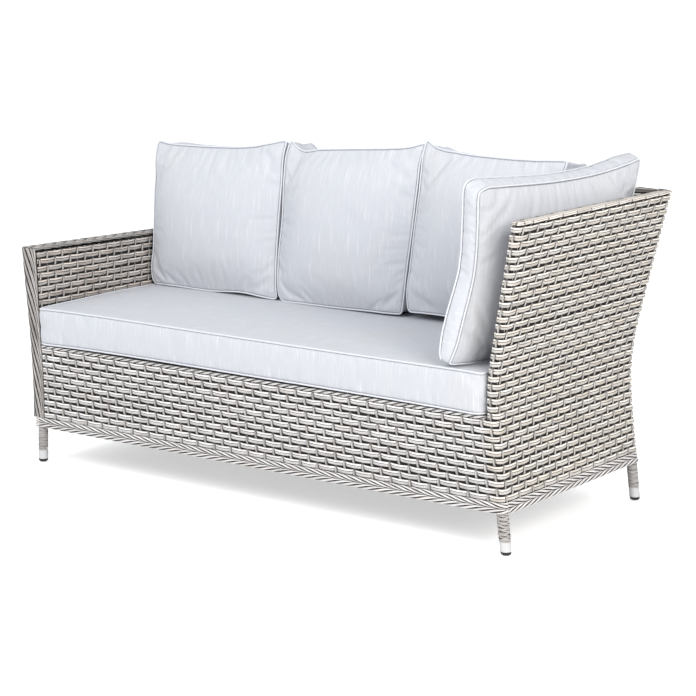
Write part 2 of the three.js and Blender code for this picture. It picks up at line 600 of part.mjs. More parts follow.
function cushionGeometry(form) {
  const { width, height, gusset, front, rear } = form;
  const inwardShares = [0.06, 0.18, 0.36, 0.64, 0.97];
  const reach = Math.min(width, height) / 2;
  const seam = [[0, -PIPING], [-PIPING, 0], [0, PIPING]];
  const level = (inward, z, crown = 0) => cushionOutline(form, inward).map(({ x, y }) =>
    new THREE.Vector3(x, y, z + crown * crownShare(width, height, x, y)));
  const loops = [
    ...[...inwardShares].reverse().map(share => level(share * reach, -gusset / 2, -rear)),
    ...seam.map(([inward, z]) => level(inward, z - gusset / 2 + PIPING)),
    level(-PIPING / 2, 0),
    ...seam.map(([inward, z]) => level(inward, z + gusset / 2 - PIPING)),
    ...inwardShares.map(share => level(share * reach, gusset / 2, front)),
  ];
  return loft(loops, cushionOutline(form, inwardShares.at(-1) * reach));
}

// The seat cushion fills the deck from wall to wall
const seatLeft = xArm(DECK_TOP) + armWidth(DECK_TOP, WALL_HALF) + PIPING + SOFT_TOUCH;
const seatRight = xEnd(nearestHeight(END_LEAN, DECK_TOP)) - WALL_HALF - PIPING - SOFT_TOUCH;
const seatFront = Y_FRONT - WALL_HALF - SEAT_CUSHION.overhang;
const seatRear = yBack(nearestHeight(BACK_LEAN, DECK_TOP)) - WALL_HALF - PIPING - SOFT_TOUCH;

// How far a point is above the seat cushion, where it is close enough to matter
const downRay = new THREE.Raycaster();
function heightOver(mesh, point) {
  if (point.z > SEAT_CUSHION_TOP + 2 * SEAT_CUSHION.front) return Infinity;
  downRay.set(new THREE.Vector3(point.x, point.y, BACK_TOP), new THREE.Vector3(0, 0, -1));
  const [hit] = downRay.intersectObject(mesh);
  return hit ? point.z - hit.point.z : Infinity;
}

// The corners of a geometry's faces, and the middles of their edges
function surfacePoints(geometry) {
  const place = geometry.attributes.position;
  const corner = i => new THREE.Vector3().fromBufferAttribute(place, geometry.index.getX(i));
  const points = [];
  for (let i = 0; i < geometry.index.count; i += 3) {
    const [a, b, c] = [corner(i), corner(i + 1), corner(i + 2)];
    for (const [from, to] of [[a, b], [b, c], [c, a]]) points.push(from, from.clone().lerp(to, 1 / 2));
  }
  return points;
}

// Stands a cushion on the seat and pushes it back against a wall, by its least gap to each.
// across is the way its width runs, away the way to the wall, and wallGap a point's distance from it.
function lay({ form, across, lean, start, away, wallGap, seat }) {
  const up = new THREE.Vector3(0, 0, 1);
  const face = new THREE.Vector3().crossVectors(across, up);
  const leanedUp = up.clone().multiplyScalar(Math.cos(lean)).addScaledVector(face, -Math.sin(lean));
  const leanedFace = face.clone().multiplyScalar(Math.cos(lean)).addScaledVector(up, Math.sin(lean));
  const geometry = cushionGeometry(form);
  geometry.applyMatrix4(new THREE.Matrix4().makeBasis(across, leanedUp, leanedFace));
  geometry.translate(start.x, start.y, start.z);
  const least = measure => Math.min(...surfacePoints(geometry).map(measure));
  for (let pass = 0; pass < LAYING_PASSES; pass++) {
    const back = least(wallGap) - SOFT_TOUCH;
    geometry.translate(away.x * back, away.y * back, 0);
    geometry.translate(0, 0, SOFT_TOUCH - least(point => heightOver(seat, point)));
  }
  return geometry;
}

// A point's distance from a leaning wall, whose place at each height is given; above it nothing touches
function wallDistance(wallAt, axis) {
  return point => point.z > BACK_TOP + CAP_HEIGHT
    ? Infinity
    : wallAt(Math.min(point.z, BACK_TOP)) - WALL_HALF - BRAID_PROUD - point[axis];
}

function buildCushions() {
  const form = { ...SEAT_CUSHION, width: seatRight - seatLeft, height: seatRear - seatFront };
  const middle = (seatLeft + seatRight) / 2;
  const seat = add('seat_cushion', cushionGeometry(form), cloth);
  seat.geometry.translate(middle, seatFront, DECK_TOP + SOFT_TOUCH + SEAT_CUSHION.gusset / 2);

  // The back cushions share the room between the arm and the side cushion
  const places = ['left', 'middle', 'right'];
  const rowLeft = xArm(SEAT_CUSHION_TOP) + armWidth(SEAT_CUSHION_TOP, WALL_HALF) + SOFT_TOUCH;
  const sideRoom = SIDE_CUSHION.gusset + SIDE_CUSHION.rear + BACK_ROW_END_GAP;
  const rowRight = xEnd(SEAT_CUSHION_TOP) - WALL_HALF - sideRoom;
  const pitch = (rowRight - rowLeft) / places.length;
  places.forEach((place, i) => {
    add(`back_cushion_${place}`, lay({
      form: { ...BACK_CUSHION, width: pitch - CUSHION_SPACING - 2 * PIPING },
      across: new THREE.Vector3(1, 0, 0),
      lean: BACK_CUSHION_LEAN,
      start: new THREE.Vector3(rowLeft + pitch / 2 + i * pitch, 0, SEAT_CUSHION_TOP),
      away: new THREE.Vector3(0, 1, 0),
      wallGap: wallDistance(yBack, 'y'),
      seat,
    }), cloth);
  });

  const sideFront = seatFront + SIDE_CUSHION_SETBACK;
  const sideRear = yBack(SEAT_CUSHION_TOP) - WALL_HALF - SIDE_CUSHION_REAR_GAP;
  add('side_cushion', lay({
    form: { ...SIDE_CUSHION, width: (sideRear - sideFront) / Math.cos(SIDE_CUSHION_TURN) },
    across: new THREE.Vector3(-Math.sin(SIDE_CUSHION_TURN), -Math.cos(SIDE_CUSHION_TURN), 0),
    lean: SIDE_CUSHION_LEAN,
    start: new THREE.Vector3(0, (sideFront + sideRear) / 2, SEAT_CUSHION_TOP),
    away: new THREE.Vector3(1, 0, 0),
    wallGap: wallDistance(xEnd, 'x'),
    seat,
  }), cloth);
}

buildFrame();
buildWeave();
buildDeck();
buildBraids();
buildFeet();
buildCushions();

// The origin is under the middle of the sofa's own box, on the floor
const box = new THREE.Box3().setFromObject(sofa);
const middle = box.getCenter(new THREE.Vector3());
sofa.position.set(-middle.x, -middle.y, 0);

export default sofa;
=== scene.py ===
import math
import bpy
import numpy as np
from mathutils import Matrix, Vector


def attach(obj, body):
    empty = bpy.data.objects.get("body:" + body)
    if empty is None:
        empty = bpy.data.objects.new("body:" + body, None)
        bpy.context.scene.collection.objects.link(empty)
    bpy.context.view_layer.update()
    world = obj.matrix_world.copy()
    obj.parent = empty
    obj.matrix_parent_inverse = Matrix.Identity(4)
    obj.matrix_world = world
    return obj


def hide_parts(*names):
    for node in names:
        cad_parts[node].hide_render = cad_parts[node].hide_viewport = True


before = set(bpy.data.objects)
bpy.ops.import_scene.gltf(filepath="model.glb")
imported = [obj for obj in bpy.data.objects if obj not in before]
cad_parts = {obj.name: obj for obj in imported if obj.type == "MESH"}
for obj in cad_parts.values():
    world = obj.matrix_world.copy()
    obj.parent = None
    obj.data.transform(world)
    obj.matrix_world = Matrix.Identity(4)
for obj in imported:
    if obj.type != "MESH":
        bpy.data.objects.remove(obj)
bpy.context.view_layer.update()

# %% [markdown]
# # A woven garden sofa
# The solid frame of the sofa has just been loaded: steel tubes, feet, and one plain solid for
# each woven panel, plait and cushion. Here each plain solid is dressed with what the real
# sofa shows: flat synthetic cane woven over stakes, plaited edges, cane-wound legs and stuffed
# cushions. All sizes are in millimetres until a mesh is made, and then in metres.

MM = 0.001

# %% [markdown]
# ## The camera
# A long lens from the front right and a little above, as in the photograph. The place and the
# lens were worked out from the feet, the posts and the rows of weave, so the outlines agree.

# %% Set the camera
LENS, SENSOR = 115.8, 36
CAMERA_PLACE = (3.7308, -4.9754, 1.6319)
CAMERA_TURN = [math.radians(a) for a in (78.581, 0, 36.473)]
LENS_SHIFT = (-0.0033, -0.0004)

camera_data = bpy.data.cameras.new("camera")
camera = bpy.data.objects.new("camera", camera_data)
bpy.context.collection.objects.link(camera)
camera.location, camera.rotation_euler = CAMERA_PLACE, CAMERA_TURN
camera_data.lens, camera_data.sensor_width = LENS, SENSOR
camera_data.shift_x, camera_data.shift_y = LENS_SHIFT
bpy.context.scene.camera = camera
print("camera:", CAMERA_PLACE, "lens", LENS)

# %% [markdown]
# ## The shape of the walls
# Each side of the frame leans: a straight run, one bend, and another straight run. Every strand
# of the weave has to follow that, so the lean is written once, as a rule from height to place.
# The low arm also swells: its walls stand further apart at the top than at the seat.

# %% Write down the frame's sizes and how it leans
SHIFT_X, SHIFT_Y = 8.96, -40.454         # the middle between the four posts, at the floor
POST_X, POST_Y = 806.5, 329.0            # from there to a post's middle
BRAID_TOP, DECK_TOP, ARM_TOP, BACK_TOP = 137, 355, 628, 850
WALL_HALF, ARM_HALF_LOW, ARM_HALF_HIGH = 18, 20, 26
# each lean: the slope below the bend, the slope above it, and where the bend starts and ends
END_LEAN = (math.radians(-6.8), math.radians(9.4), 320, 508)
BACK_LEAN = (math.radians(-1.1), math.radians(9.7), 220, 400)
ARM_LEAN = (math.radians(-2), math.radians(3.8), 150, 328)


def smooth(a, b, x):
    """0 up to a, 1 from b, and a soft rise between them."""
    share = np.clip((x - a) / (b - a), 0, 1)
    return share * share * (3 - 2 * share)


def lean_at(lean, z):
    """How far a leaning side has moved at height z."""
    low, high, start, end = math.tan(lean[0]), math.tan(lean[1]), lean[2], lean[3]
    z = np.asarray(z, float)
    into = np.clip(z - start, 0, end - start)
    return low * z + (high - low) * (into**2 / (2 * (end - start)) + np.maximum(z - end, 0))


def x_end(z):
    return SHIFT_X + POST_X + lean_at(END_LEAN, z)


def x_arm(z):
    return SHIFT_X - POST_X - lean_at(ARM_LEAN, z)


def y_back(z):
    return SHIFT_Y + POST_Y + lean_at(BACK_LEAN, z)


Y_FRONT = SHIFT_Y - POST_Y


def arm_growth(z):
    """How much thicker the arm is at height z than the other walls, on each side."""
    rise = smooth(DECK_TOP, ARM_TOP, np.asarray(z, float))
    return ARM_HALF_LOW + (ARM_HALF_HIGH - ARM_HALF_LOW) * rise - WALL_HALF


print("high end moves", round(float(x_end(BACK_TOP) - x_end(BRAID_TOP))), "mm outwards over its height")

# %% [markdown]
# ## Following a wall
# A weaver counts along a wall in stakes, not in millimetres. Here one unit along a wall is one
# brick of the pattern, which is two stakes. A wall is a list of sides, and each side turns a
# share of its length, a height and a depth into a point. Corners go round the posts, so strands
# bend smoothly. The low arm's top isn't quite level, and its upper rows slope with it.

# %% Write the rules for a straight side and for a rounded corner
BRICK = 59.4                     # length of one brick along the front
CORNER = 28.3 / BRICK            # a quarter turn round a post, in bricks
ARM_FRONT_RISE, ARM_REAR_DROP = 12, 6


def straight(x0, y0, x1, y1, out, slope=None):
    """A side between two places that depend on height; out is the way it faces."""
    def point(share, z, depth):
        x = x0(z) + (x1(z) - x0(z)) * share + out[0] * depth
        y = y0(z) + (y1(z) - y0(z)) * share + out[1] * depth
        return np.stack([x, y, z if slope is None else z + slope(share, z)], -1)
    return point


def arm_slope(front_share, z, rear_drop):
    """The arm's upper rows run slightly downhill from its front (share 1) to its rear (share 0)."""
    rise = np.clip((np.asarray(z, float) - DECK_TOP) / (ARM_TOP - DECK_TOP), 0, 1)
    return rise * (ARM_FRONT_RISE * front_share - rear_drop * (1 - front_share))


def around(x, y, start, end, growth=None):
    """A rounded corner about a post, between two angles in degrees."""
    def point(share, z, depth):
        angle = np.radians(start + (end - start) * share)
        wide = depth if growth is None else depth + growth(z)
        return np.stack([x(z) + wide * np.cos(angle), y(z) + depth * np.sin(angle), z], -1)
    return point


def y_front(z):
    return np.full(np.shape(z), Y_FRONT)


print("a corner is", round(CORNER, 2), "bricks long")

# %% [markdown]
# A route strings sides together, as the weaver's strip passes them: along the skirt, round the
# high end, along the back and the low arm. The lower rows start at the front of the skirt. The
# upper rows run round both faces of the high end and the back without a break.

# %% Lay the routes round the sofa


def route(first, *sides):
    """A route is its starting count and its sides, each with its length in bricks."""
    ends = np.cumsum([first] + [length for length, _ in sides])
    return ends, [side for _, side in sides]


def place(way, count, z, depth):
    """Points on a route for arrays of counts, heights and depths."""
    ends, sides = way
    count, z, depth = np.broadcast_arrays(count, z, depth)
    points = np.zeros(count.shape + (3,))
    which = np.clip(np.searchsorted(ends, count, side="right") - 1, 0, len(sides) - 1)
    for i, side in enumerate(sides):
        here = which == i
        share = (count[here] - ends[i]) / (ends[i + 1] - ends[i])
        points[here] = side(share, z[here], depth[here])
    return points


FRONT_START, FRONT_END = 0.43, 27.0      # where the front starts and ends on the weaver's count
END_BRICKS, BACK_BRICKS, ARM_BRICKS = 10.6, 26.5, 11.0
front = straight(x_arm, y_front, x_end, y_front, (0, -1))
end = straight(x_end, y_front, x_end, y_back, (1, 0))
back = straight(x_end, y_back, x_arm, y_back, (0, 1))


def x_arm_outside(z):
    return x_arm(z) - arm_growth(z)


def x_arm_inside(z):
    return x_arm(z) + arm_growth(z)


arm = straight(x_arm_outside, y_back, x_arm_outside, y_front, (-1, 0),
               lambda share, z: arm_slope(share, z, 0))
turn_front_right = around(x_end, y_front, -90, 0)
turn_rear_right = around(x_end, y_back, 0, 90)
turn_rear_left = around(x_arm, y_back, 90, 180, arm_growth)
outer_sides = [(CORNER, turn_front_right), (END_BRICKS, end), (CORNER, turn_rear_right),
               (BACK_BRICKS, back), (CORNER, turn_rear_left)]
lower = route(FRONT_START, (FRONT_END - FRONT_START, front), *outer_sides, (ARM_BRICKS, arm))
inner_end = straight(x_end, y_back, x_end, y_front, (-1, 0))
inner_back = straight(x_arm, y_back, x_end, y_back, (0, -1))
upper = route(FRONT_END - CORNER - END_BRICKS, (END_BRICKS, inner_end),
              (CORNER, around(x_end, y_front, -180, -90)), *outer_sides,
              (CORNER, around(x_arm, y_back, 180, 270, arm_growth)), (BACK_BRICKS, inner_back))


def inner_slope(share, z):
    """The same slope on the arm's inside, which runs from the front to the rear."""
    return arm_slope(1 - share, z, ARM_REAR_DROP)


inner_arm = route(0, (ARM_BRICKS, straight(x_arm_inside, y_front, x_arm_inside, y_back, (1, 0), inner_slope)))
END_DONE = FRONT_END + CORNER + END_BRICKS + CORNER
BACK_DONE = END_DONE + BACK_BRICKS
print("lower route:", lower[0].round(2), "upper route:", upper[0].round(2))

# %% [markdown]
# ## From strands to meshes
# A strand is a flat strip swept along a line. Curves with a bevel could do that, but they give every strand
# the same round section. So rings of points are joined into quads here, and many strands go into one mesh, so
# a whole panel stays one piece. Each corner of a face also gets a place on the strip, along and across, which
# the finish uses for its fine streaks. Each point gets a number from 0 to 1 that says how much painted shade
# the finish puts on it, in its grooves and in shaded places.

# %% Turn sections into one smooth mesh
SHARP_ANGLE = math.radians(38)


def grid_faces(samples, ring, first):
    """Quads between rings of points, and one face to close each end."""
    i = np.arange(samples - 1)[:, None] * ring
    j = np.arange(ring)[None, :]
    k = (j + 1) % ring
    quads = np.stack([i + j, i + k, i + ring + k, i + ring + j], -1).reshape(-1, 4) + first
    return quads, [first + np.arange(ring)[::-1], first + (samples - 1) * ring + np.arange(ring)]


def joined(strands):
    """Many strands as one list of points, with their faces, their places and their painted shade."""
    points, quads, caps, places, painted_shades = [], [], [], [], []
    first = 0
    for strand, along, across, *painted_shading in strands:
        samples, ring = strand.shape[:2]
        faces, ends = grid_faces(samples, ring, first)
        points.append(strand.reshape(-1, 3) * MM)
        quads.append(faces)
        caps += ends
        spots = np.broadcast_arrays(np.asarray(along)[:, None], np.asarray(across)[None, :])
        places.append(np.stack(spots, -1).reshape(-1, 2))
        painted_shades.append(np.broadcast_to(painted_shading[0] if painted_shading else 0, (samples, ring)).ravel())
        first += samples * ring
    return np.concatenate(points), np.concatenate(quads), caps, np.concatenate(places), np.concatenate(painted_shades)


def mesh_of(name, points, quads, caps):
    mesh = bpy.data.meshes.new(name)
    corners = np.concatenate([quads.ravel()] + caps)
    sizes = np.concatenate([np.full(len(quads), 4)] + [[len(c)] for c in caps])
    mesh.vertices.add(len(points))
    mesh.vertices.foreach_set("co", points.ravel())
    mesh.loops.add(len(corners))
    mesh.loops.foreach_set("vertex_index", corners.astype(np.int32))
    mesh.polygons.add(len(sizes))
    starts = np.concatenate([[0], np.cumsum(sizes)[:-1]])
    mesh.polygons.foreach_set("loop_start", starts.astype(np.int32))
    mesh.update(calc_edges=True)
    mesh.validate()
    mesh.shade_smooth()
    mesh.set_sharp_from_angle(angle=SHARP_ANGLE)
    return mesh


def swept_object(name, strands):
    """One object from strands: points (samples, ring, 3) in mm, places along and across, and painted shade.
    """
    points, quads, caps, places, painted_shades = joined(strands)
    mesh = mesh_of(name, points, quads, caps)
    painted_shade = mesh.attributes.new("painted_shade", "FLOAT", "POINT")
    painted_shade.data.foreach_set("value", painted_shades.astype(np.float32))
    index = np.zeros(len(mesh.loops), np.int32)
    mesh.loops.foreach_get("vertex_index", index)
    mesh.uv_layers.new(name="strand").data.foreach_set("uv", places[index].ravel())
    made = bpy.data.objects.new(name, mesh)
    bpy.context.collection.objects.link(made)
    return made


print("4 rings of 6 points give", len(grid_faces(4, 6, 0)[0]), "quads")

# %% [markdown]
# Each piece then gets its finish, rides on the frame, and takes the place of the plain solids that it
# dresses. Hand work is uneven, but it must come out the same every time, so chance is a formula of a strand's
# own numbers.

# %% Dress a piece, and leave something to chance


def dress(piece, finish, slot, *nodes):
    """Gives a piece its finish, lets it ride on the frame and stand for its solids; slot is not used."""
    piece.data.materials.clear()
    piece.data.materials.append(finish)
    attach(piece, "frame")
    if nodes:
        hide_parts(*nodes)
    return piece


CHANCE_STEPS, CHANCE_STRETCH = (12.9898, 78.233, 37.719), 43758.5453


def chance(*numbers):
    """A number from 0 to 1 that looks random but is the same for the same strand every time."""
    mixed = sum(np.asarray(n, float) * k for n, k in zip(numbers, CHANCE_STEPS))
    return np.modf(np.abs(np.sin(mixed) * CHANCE_STRETCH))[0]


print("three throws:", [round(float(chance(n, 1)), 2) for n in range(3)])

# %% [markdown]
# ## Finishes from nodes
# A finish could be a photograph laid over a piece, but then it has one size and repeats. Here
# every finish is made of a few nodes: a noise gives a pattern, a ramp turns it into colours, and
# a bump turns it into relief. These helpers add one node each and join it to the others.

# %% Write small helpers for the finishes
finishes = {}


def node(tree, kind, **values):
    """Adds a shader node and sets its values by socket name or by property."""
    made = tree.nodes.new(kind)
    for key, value in values.items():
        if key in made.inputs:
            made.inputs[key].default_value = value
        else:
            setattr(made, key, value)
    return made


def noise(tree, vector, scale, detail=3.0, rough=0.6):
    made = node(tree, "ShaderNodeTexNoise", Scale=scale, Detail=detail, Roughness=rough)
    tree.links.new(vector, made.inputs["Vector"])
    return made.outputs["Fac"]


def ramp(tree, fac, *stops):
    made = tree.nodes.new("ShaderNodeValToRGB")
    elements = made.color_ramp.elements
    for i, (at, color) in enumerate(stops):
        element = elements[i] if i < 2 else elements.new(at)
        element.position, element.color = at, (*color, 1)
    tree.links.new(fac, made.inputs["Fac"])
    return made.outputs["Color"]


def mix(tree, mode, fac, first, second):
    made = tree.nodes.new("ShaderNodeMix")
    made.data_type, made.blend_type = "RGBA", mode
    for socket, value in ((made.inputs[0], fac), (made.inputs[6], first), (made.inputs[7], second)):
        if isinstance(value, (int, float, tuple)):
            socket.default_value = value
        else:
            tree.links.new(value, socket)
    return made.outputs[2]


def bump(tree, height, strength, distance, below=None):
    made = node(tree, "ShaderNodeBump", Strength=strength, Distance=distance)
    tree.links.new(height, made.inputs["Height"])
    if below is not None:
        tree.links.new(below, made.inputs["Normal"])
    return made.outputs["Normal"]


def new_finish(name, rough, color=(1, 1, 1)):
    finish = bpy.data.materials.new(name)
    finish.use_nodes = True
    shader = finish.node_tree.nodes["Principled BSDF"]
    shader.inputs["Roughness"].default_value = rough
    shader.inputs["Base Color"].default_value = (*color, 1)
    finishes[name] = finish
    return finish, finish.node_tree, shader


def stretched(tree, along, across):
    """The strip's own coordinates, in metres, stretched by these scales."""
    where = node(tree, "ShaderNodeUVMap", uv_map="strand")
    made = node(tree, "ShaderNodeMapping")
    made.inputs["Scale"].default_value = (along, across, 1)
    tree.links.new(where.outputs["UV"], made.inputs["Vector"])
    return made.outputs["Vector"]


print("finishes so far:", len(finishes))

# %% [markdown]
# ## The cane's finish
# The cane is a synthetic strip that copies weathered rattan: pale, with fine grey-brown streaks
# that run along it, and slow changes of tone from one length to the next. Noise that is stretched
# along the strip gives the streaks. Another one, much finer across the strip, gives faint relief.
# The points that are marked on the strands are painted darker: painted shade in the grooves, in the gaps and
# on faces turned away from the light.

# %% Make the canes
# how finely each pattern changes along and across a strip, per metre
STREAKS, DRIFTS, SHADES, THREADS = (11, 150), (7, 60), (22, 30), (6, 900)
WHITE_TONE, BLACK_TONE, SHADED_TONE = (1, 1, 1), (0, 0, 0), (0.8, 0.8, 0.8)
# the tone that the most shaded points are painted: painted shade
PAINTED_SHADE_TONE = 0.17                    # how much light the grooves between the ribs give back
CANE_ROUGH, CANE_SHINE, THREAD_HEIGHT = 0.5, 0.4, 0.0004


def cane(name, pale, middle, dark, warm):
    """Streaked cane: pale ridges, grey-brown streaks, and slow drifts towards a warmer tone."""
    finish, tree, shader = new_finish(name, CANE_ROUGH)
    streaks = noise(tree, stretched(tree, *STREAKS), 1.0, 1.5, 0.5)
    body = ramp(tree, streaks, (0.24, dark), (0.42, middle), (0.62, pale))
    drift = noise(tree, stretched(tree, *DRIFTS), 1.0, 2.0, 0.5)
    drifting = ramp(tree, drift, (0.42, BLACK_TONE), (0.66, WHITE_TONE))
    toned = mix(tree, "MULTIPLY", drifting, body, (*warm, 1))
    shade = noise(tree, stretched(tree, *SHADES), 1.0, 1.0, 0.5)
    shading = ramp(tree, shade, (0.3, SHADED_TONE), (0.7, WHITE_TONE))
    shaded = mix(tree, "MULTIPLY", 1.0, toned, shading)
    # painted shade: points marked in grooves, gaps and shaded places are painted darker
    painted_shading = node(tree, "ShaderNodeAttribute", attribute_name="painted_shade")
    painted_groove_shade = ramp(tree, painted_shading.outputs["Fac"], (0.05, WHITE_TONE), (0.95, (PAINTED_SHADE_TONE,) * 3))
    color = mix(tree, "MULTIPLY", 1.0, shaded, painted_groove_shade)
    tree.links.new(color, shader.inputs["Base Color"])
    ribs = noise(tree, stretched(tree, *THREADS), 1.0, 1.0, 0.5)
    tree.links.new(bump(tree, ribs, 0.1, THREAD_HEIGHT), shader.inputs["Normal"])
    shader.inputs["Specular IOR Level"].default_value = CANE_SHINE
    return finish


# each cane's pale, middle and dark tone, and the tint that it drifts to
CANE_TONES = {
    "ivory_cane": ((0.98, 0.965, 0.965), (0.88, 0.86, 0.855), (0.62, 0.60, 0.59), (1.0, 0.97, 0.95)),
    # the same cane as ivory_cane, tinted warmer: painted warm light on the high end, which faces the warm
    # side lamp
    "warm_lit_cane": ((0.97, 0.935, 0.89), (0.83, 0.79, 0.74), (0.55, 0.515, 0.47), (1.0, 0.95, 0.9)),
    "rope_cane": ((0.97, 0.955, 0.955), (0.88, 0.86, 0.855), (0.62, 0.60, 0.59), (1.0, 0.97, 0.95)),
    # the same cane, darker and warmer: painted shade on the low arm's inner face
    "shaded_cane": ((0.86, 0.81, 0.77), (0.69, 0.635, 0.595), (0.40, 0.36, 0.335), (1.0, 0.94, 0.89)),
    "peg_cane": ((0.60, 0.58, 0.57), (0.46, 0.44, 0.43), (0.30, 0.285, 0.275), (1.0, 0.97, 0.93)),
    "leg_cane": ((0.56, 0.54, 0.53), (0.40, 0.38, 0.37), (0.23, 0.215, 0.21), (1.0, 0.97, 0.93)),
    "plait_cane": ((0.66, 0.637, 0.623), (0.46, 0.437, 0.423), (0.25, 0.235, 0.225), (1.0, 0.96, 0.92)),
    "taupe_cane": ((0.62, 0.60, 0.585), (0.42, 0.40, 0.385), (0.20, 0.19, 0.18), (1.0, 0.97, 0.94)),
}
ivory_cane, warm_lit_cane, rope_cane, shaded_cane, peg_cane, leg_cane, plait_cane, taupe_cane = (
    cane(name, *tones) for name, tones in CANE_TONES.items())
# near black: painted shadow, for the sheets that stand for the hollow inside the walls
painted_shadow, _, _ = new_finish("painted_shadow", 0.9, (0.012, 0.011, 0.01))
print("finishes:", ", ".join(finishes))

# %% [markdown]
# ## The woven panels
# Each row is one strip that passes over one stake and under the next, and the rows take turns.
# The strip's face has one deep groove just above its middle and a faint line below it. Both lines and the
# strip's lower half are painted darker, as painted shade. A strip hangs somewhat between two pegs, twists
# slightly, and keeps no perfect count, because it is woven by hand.

# %% Let one strip swing over and under the stakes
ROWS, SEAT_ROW, SKIRT_ROWS, ARM_ROWS = 37, 12, 11, 25
BORDER_ROOM = 9                  # the rows end this far below the back's top
ROW = (BACK_TOP - BORDER_ROOM - BRAID_TOP) / ROWS
STRIP_HALF, CREST, DIP = 6.75, 18.0, 3.6
DIP_REACH, BOW = (.045, .15), 1.6    # how near to a stake a strip dips, and how it bows elsewhere
# a strip's section: from its lower edge at -1 to its upper edge at 1, and how far out, in mm
STRIP_FINE = np.array([(-1, -2.6), (-.9, -1.5), (-.7, -.8), (-.55, -.6), (-.4, -1), (-.25, -.4),
                       (-.06, -.2), (.04, -1.4), (.26, -1.4), (.36, -.25), (.58, 0), (.86, -1),
                       (1, -2.6), (.9, -3), (-.9, -3)])
STRIP_PLAIN = np.array([(-1, -2.6), (-.7, -1.1), (-.3, -1.4), (-.1, -.3), (.17, -1.2), (.38, -1.2),
                        (.62, -.4), (1, -2.6), (.9, -3), (-.9, -3)])
# how much painted shade each point of the section gets: most at the edges and in the grooves, and some on the
# lower half
FINE_PAINTED_SHADE = np.array([1, .75, .42, .36, .7, .3, .22, .95, .95, 0, 0, .12, 1, 1, 1])
PLAIN_PAINTED_SHADE = np.array([1, .3, .8, .1, 1, .9, 0, .9, 1, 1])
# where a strip gets a section, in shares of the way from one covering stake to the next
SHARES_FINE = np.array([0, .055, .1, .15, .3, .5, .7, .85, .9, .945])
SHARES_PLAIN = np.array([0, .08, .2, .4, .6, .8, .92])
UNEVEN_COLUMN, UNEVEN_PEG, UNEVEN_ROW, UNEVEN_GAP = 0.05, 0.014, 0.5, 1.15
WANDER_PACE, TWIST_PACE = .11, .045  # how often a strip wanders and twists, per brick
SAG, TWIST = 1.2, 0.6            # how far it hangs between two pegs, and how far its edges turn, in mm
SPARE, NO_CLOSER = 3, .01        # stakes looked at beyond each end, and the least step in bricks
STRIP_APART = (1.7, .31)         # each row reads the cane's streaks this much further on, in metres


def column(k, row=0.0):
    """The count at which stake k stands, as uneven as hand work is."""
    return k / 2 + (chance(k, 3) - .5) * UNEVEN_COLUMN + (chance(k, row + 7) - .5) * UNEVEN_PEG


def strip_stops(row, first, last, shares):
    """Counts along a strip, and how far each is from the nearest stake that covers the strip."""
    k = np.arange(math.floor(2 * first) - SPARE, math.ceil(2 * last) + SPARE + 1)
    stops = column(k[(k + row) % 2 == 1], row)
    counts = (stops[:-1, None] + np.diff(stops)[:, None] * shares).ravel()
    near = np.tile(np.minimum(shares, 1 - shares), len(stops) - 1)
    inside = (counts > first + NO_CLOSER) & (counts < last - NO_CLOSER)
    ends = np.interp([first, last], counts, near)
    return (np.concatenate([[first], counts[inside], [last]]),
            np.concatenate([ends[:1], near[inside], ends[1:]]))


def strip(way, row, first, last, section, painted_shading, shares):
    """One row's strip, ready for swept_object."""
    counts, near = strip_stops(row, first, last, shares)
    depth = CREST - DIP * (1 - smooth(*DIP_REACH, near)) + BOW * (near - .5)
    wave = UNEVEN_ROW * np.sin(2 * math.pi * (counts * WANDER_PACE + chance(row, 5))) \
        + UNEVEN_GAP * (2 * chance(row, 11) - 1) - SAG * smooth(0, .5, near)
    z = BRAID_TOP + (row + .5) * ROW + wave
    twist = TWIST * (np.sin(2 * math.pi * (counts * TWIST_PACE + chance(row, 17))) + 2 * chance(row, 19) - 1)
    points = place(way, counts[:, None], z[:, None] + section[:, 0] * STRIP_HALF,
                   depth[:, None] + section[:, 1] + twist[:, None] * section[:, 0])
    return (points, counts * BRICK * MM + row * STRIP_APART[0],
            section[:, 0] * STRIP_HALF * MM + row * STRIP_APART[1], painted_shading)


print("rows are", round(ROW, 1), "mm apart, and a strip is", 2 * STRIP_HALF, "mm wide")

# %% [markdown]
# The stakes are narrow canes that stand behind the strips. Where a strip goes under a stake, the stake shows
# as a short upright peg between two bricks. So a stake bulges forwards in every other row. It is painted
# darkest where it comes out from under a strip, as painted shade, because little light gets in there.

# %% Stand one stake behind the strips
STAKE_HALF, STAKE_WAVER = 3.6, .003
STAKE_SECTION = np.array([(-1, -1.7), (-.74, -.3), (-.3, 0), (.1, -.25), (.35, -.1), (.78, -.6), (1, -1.7)])
# how much painted shade each point of a stake's section gets, most at its edges
STAKE_PAINTED_SHADE = np.array([.8, .05, 0, .3, .4, .5, 1])
# a stake's way through a row: height from the row's middle, depth, and how much painted shade it gets there
PEG_FINE = ((-8.6, 16.6, .1), (-4.6, 17.2, 0), (0, 17.5, 0), (5, 17, .1), (6.8, 15.9, 1))
BEHIND_FINE = ((-8.6, 15.2, 1), (-6, 15, 1), (6, 15.2, .5), (8.6, 15.9, .1))
PEG_PLAIN = ((-8.6, 16.6, .1), (0, 17.5, 0), (6.8, 15.9, 1))
BEHIND_PLAIN = ((-6, 15, 1), (6, 15.2, .5))
STAKE_APART = (2.3, .17)         # each stake reads the cane's streaks this much further on, in metres


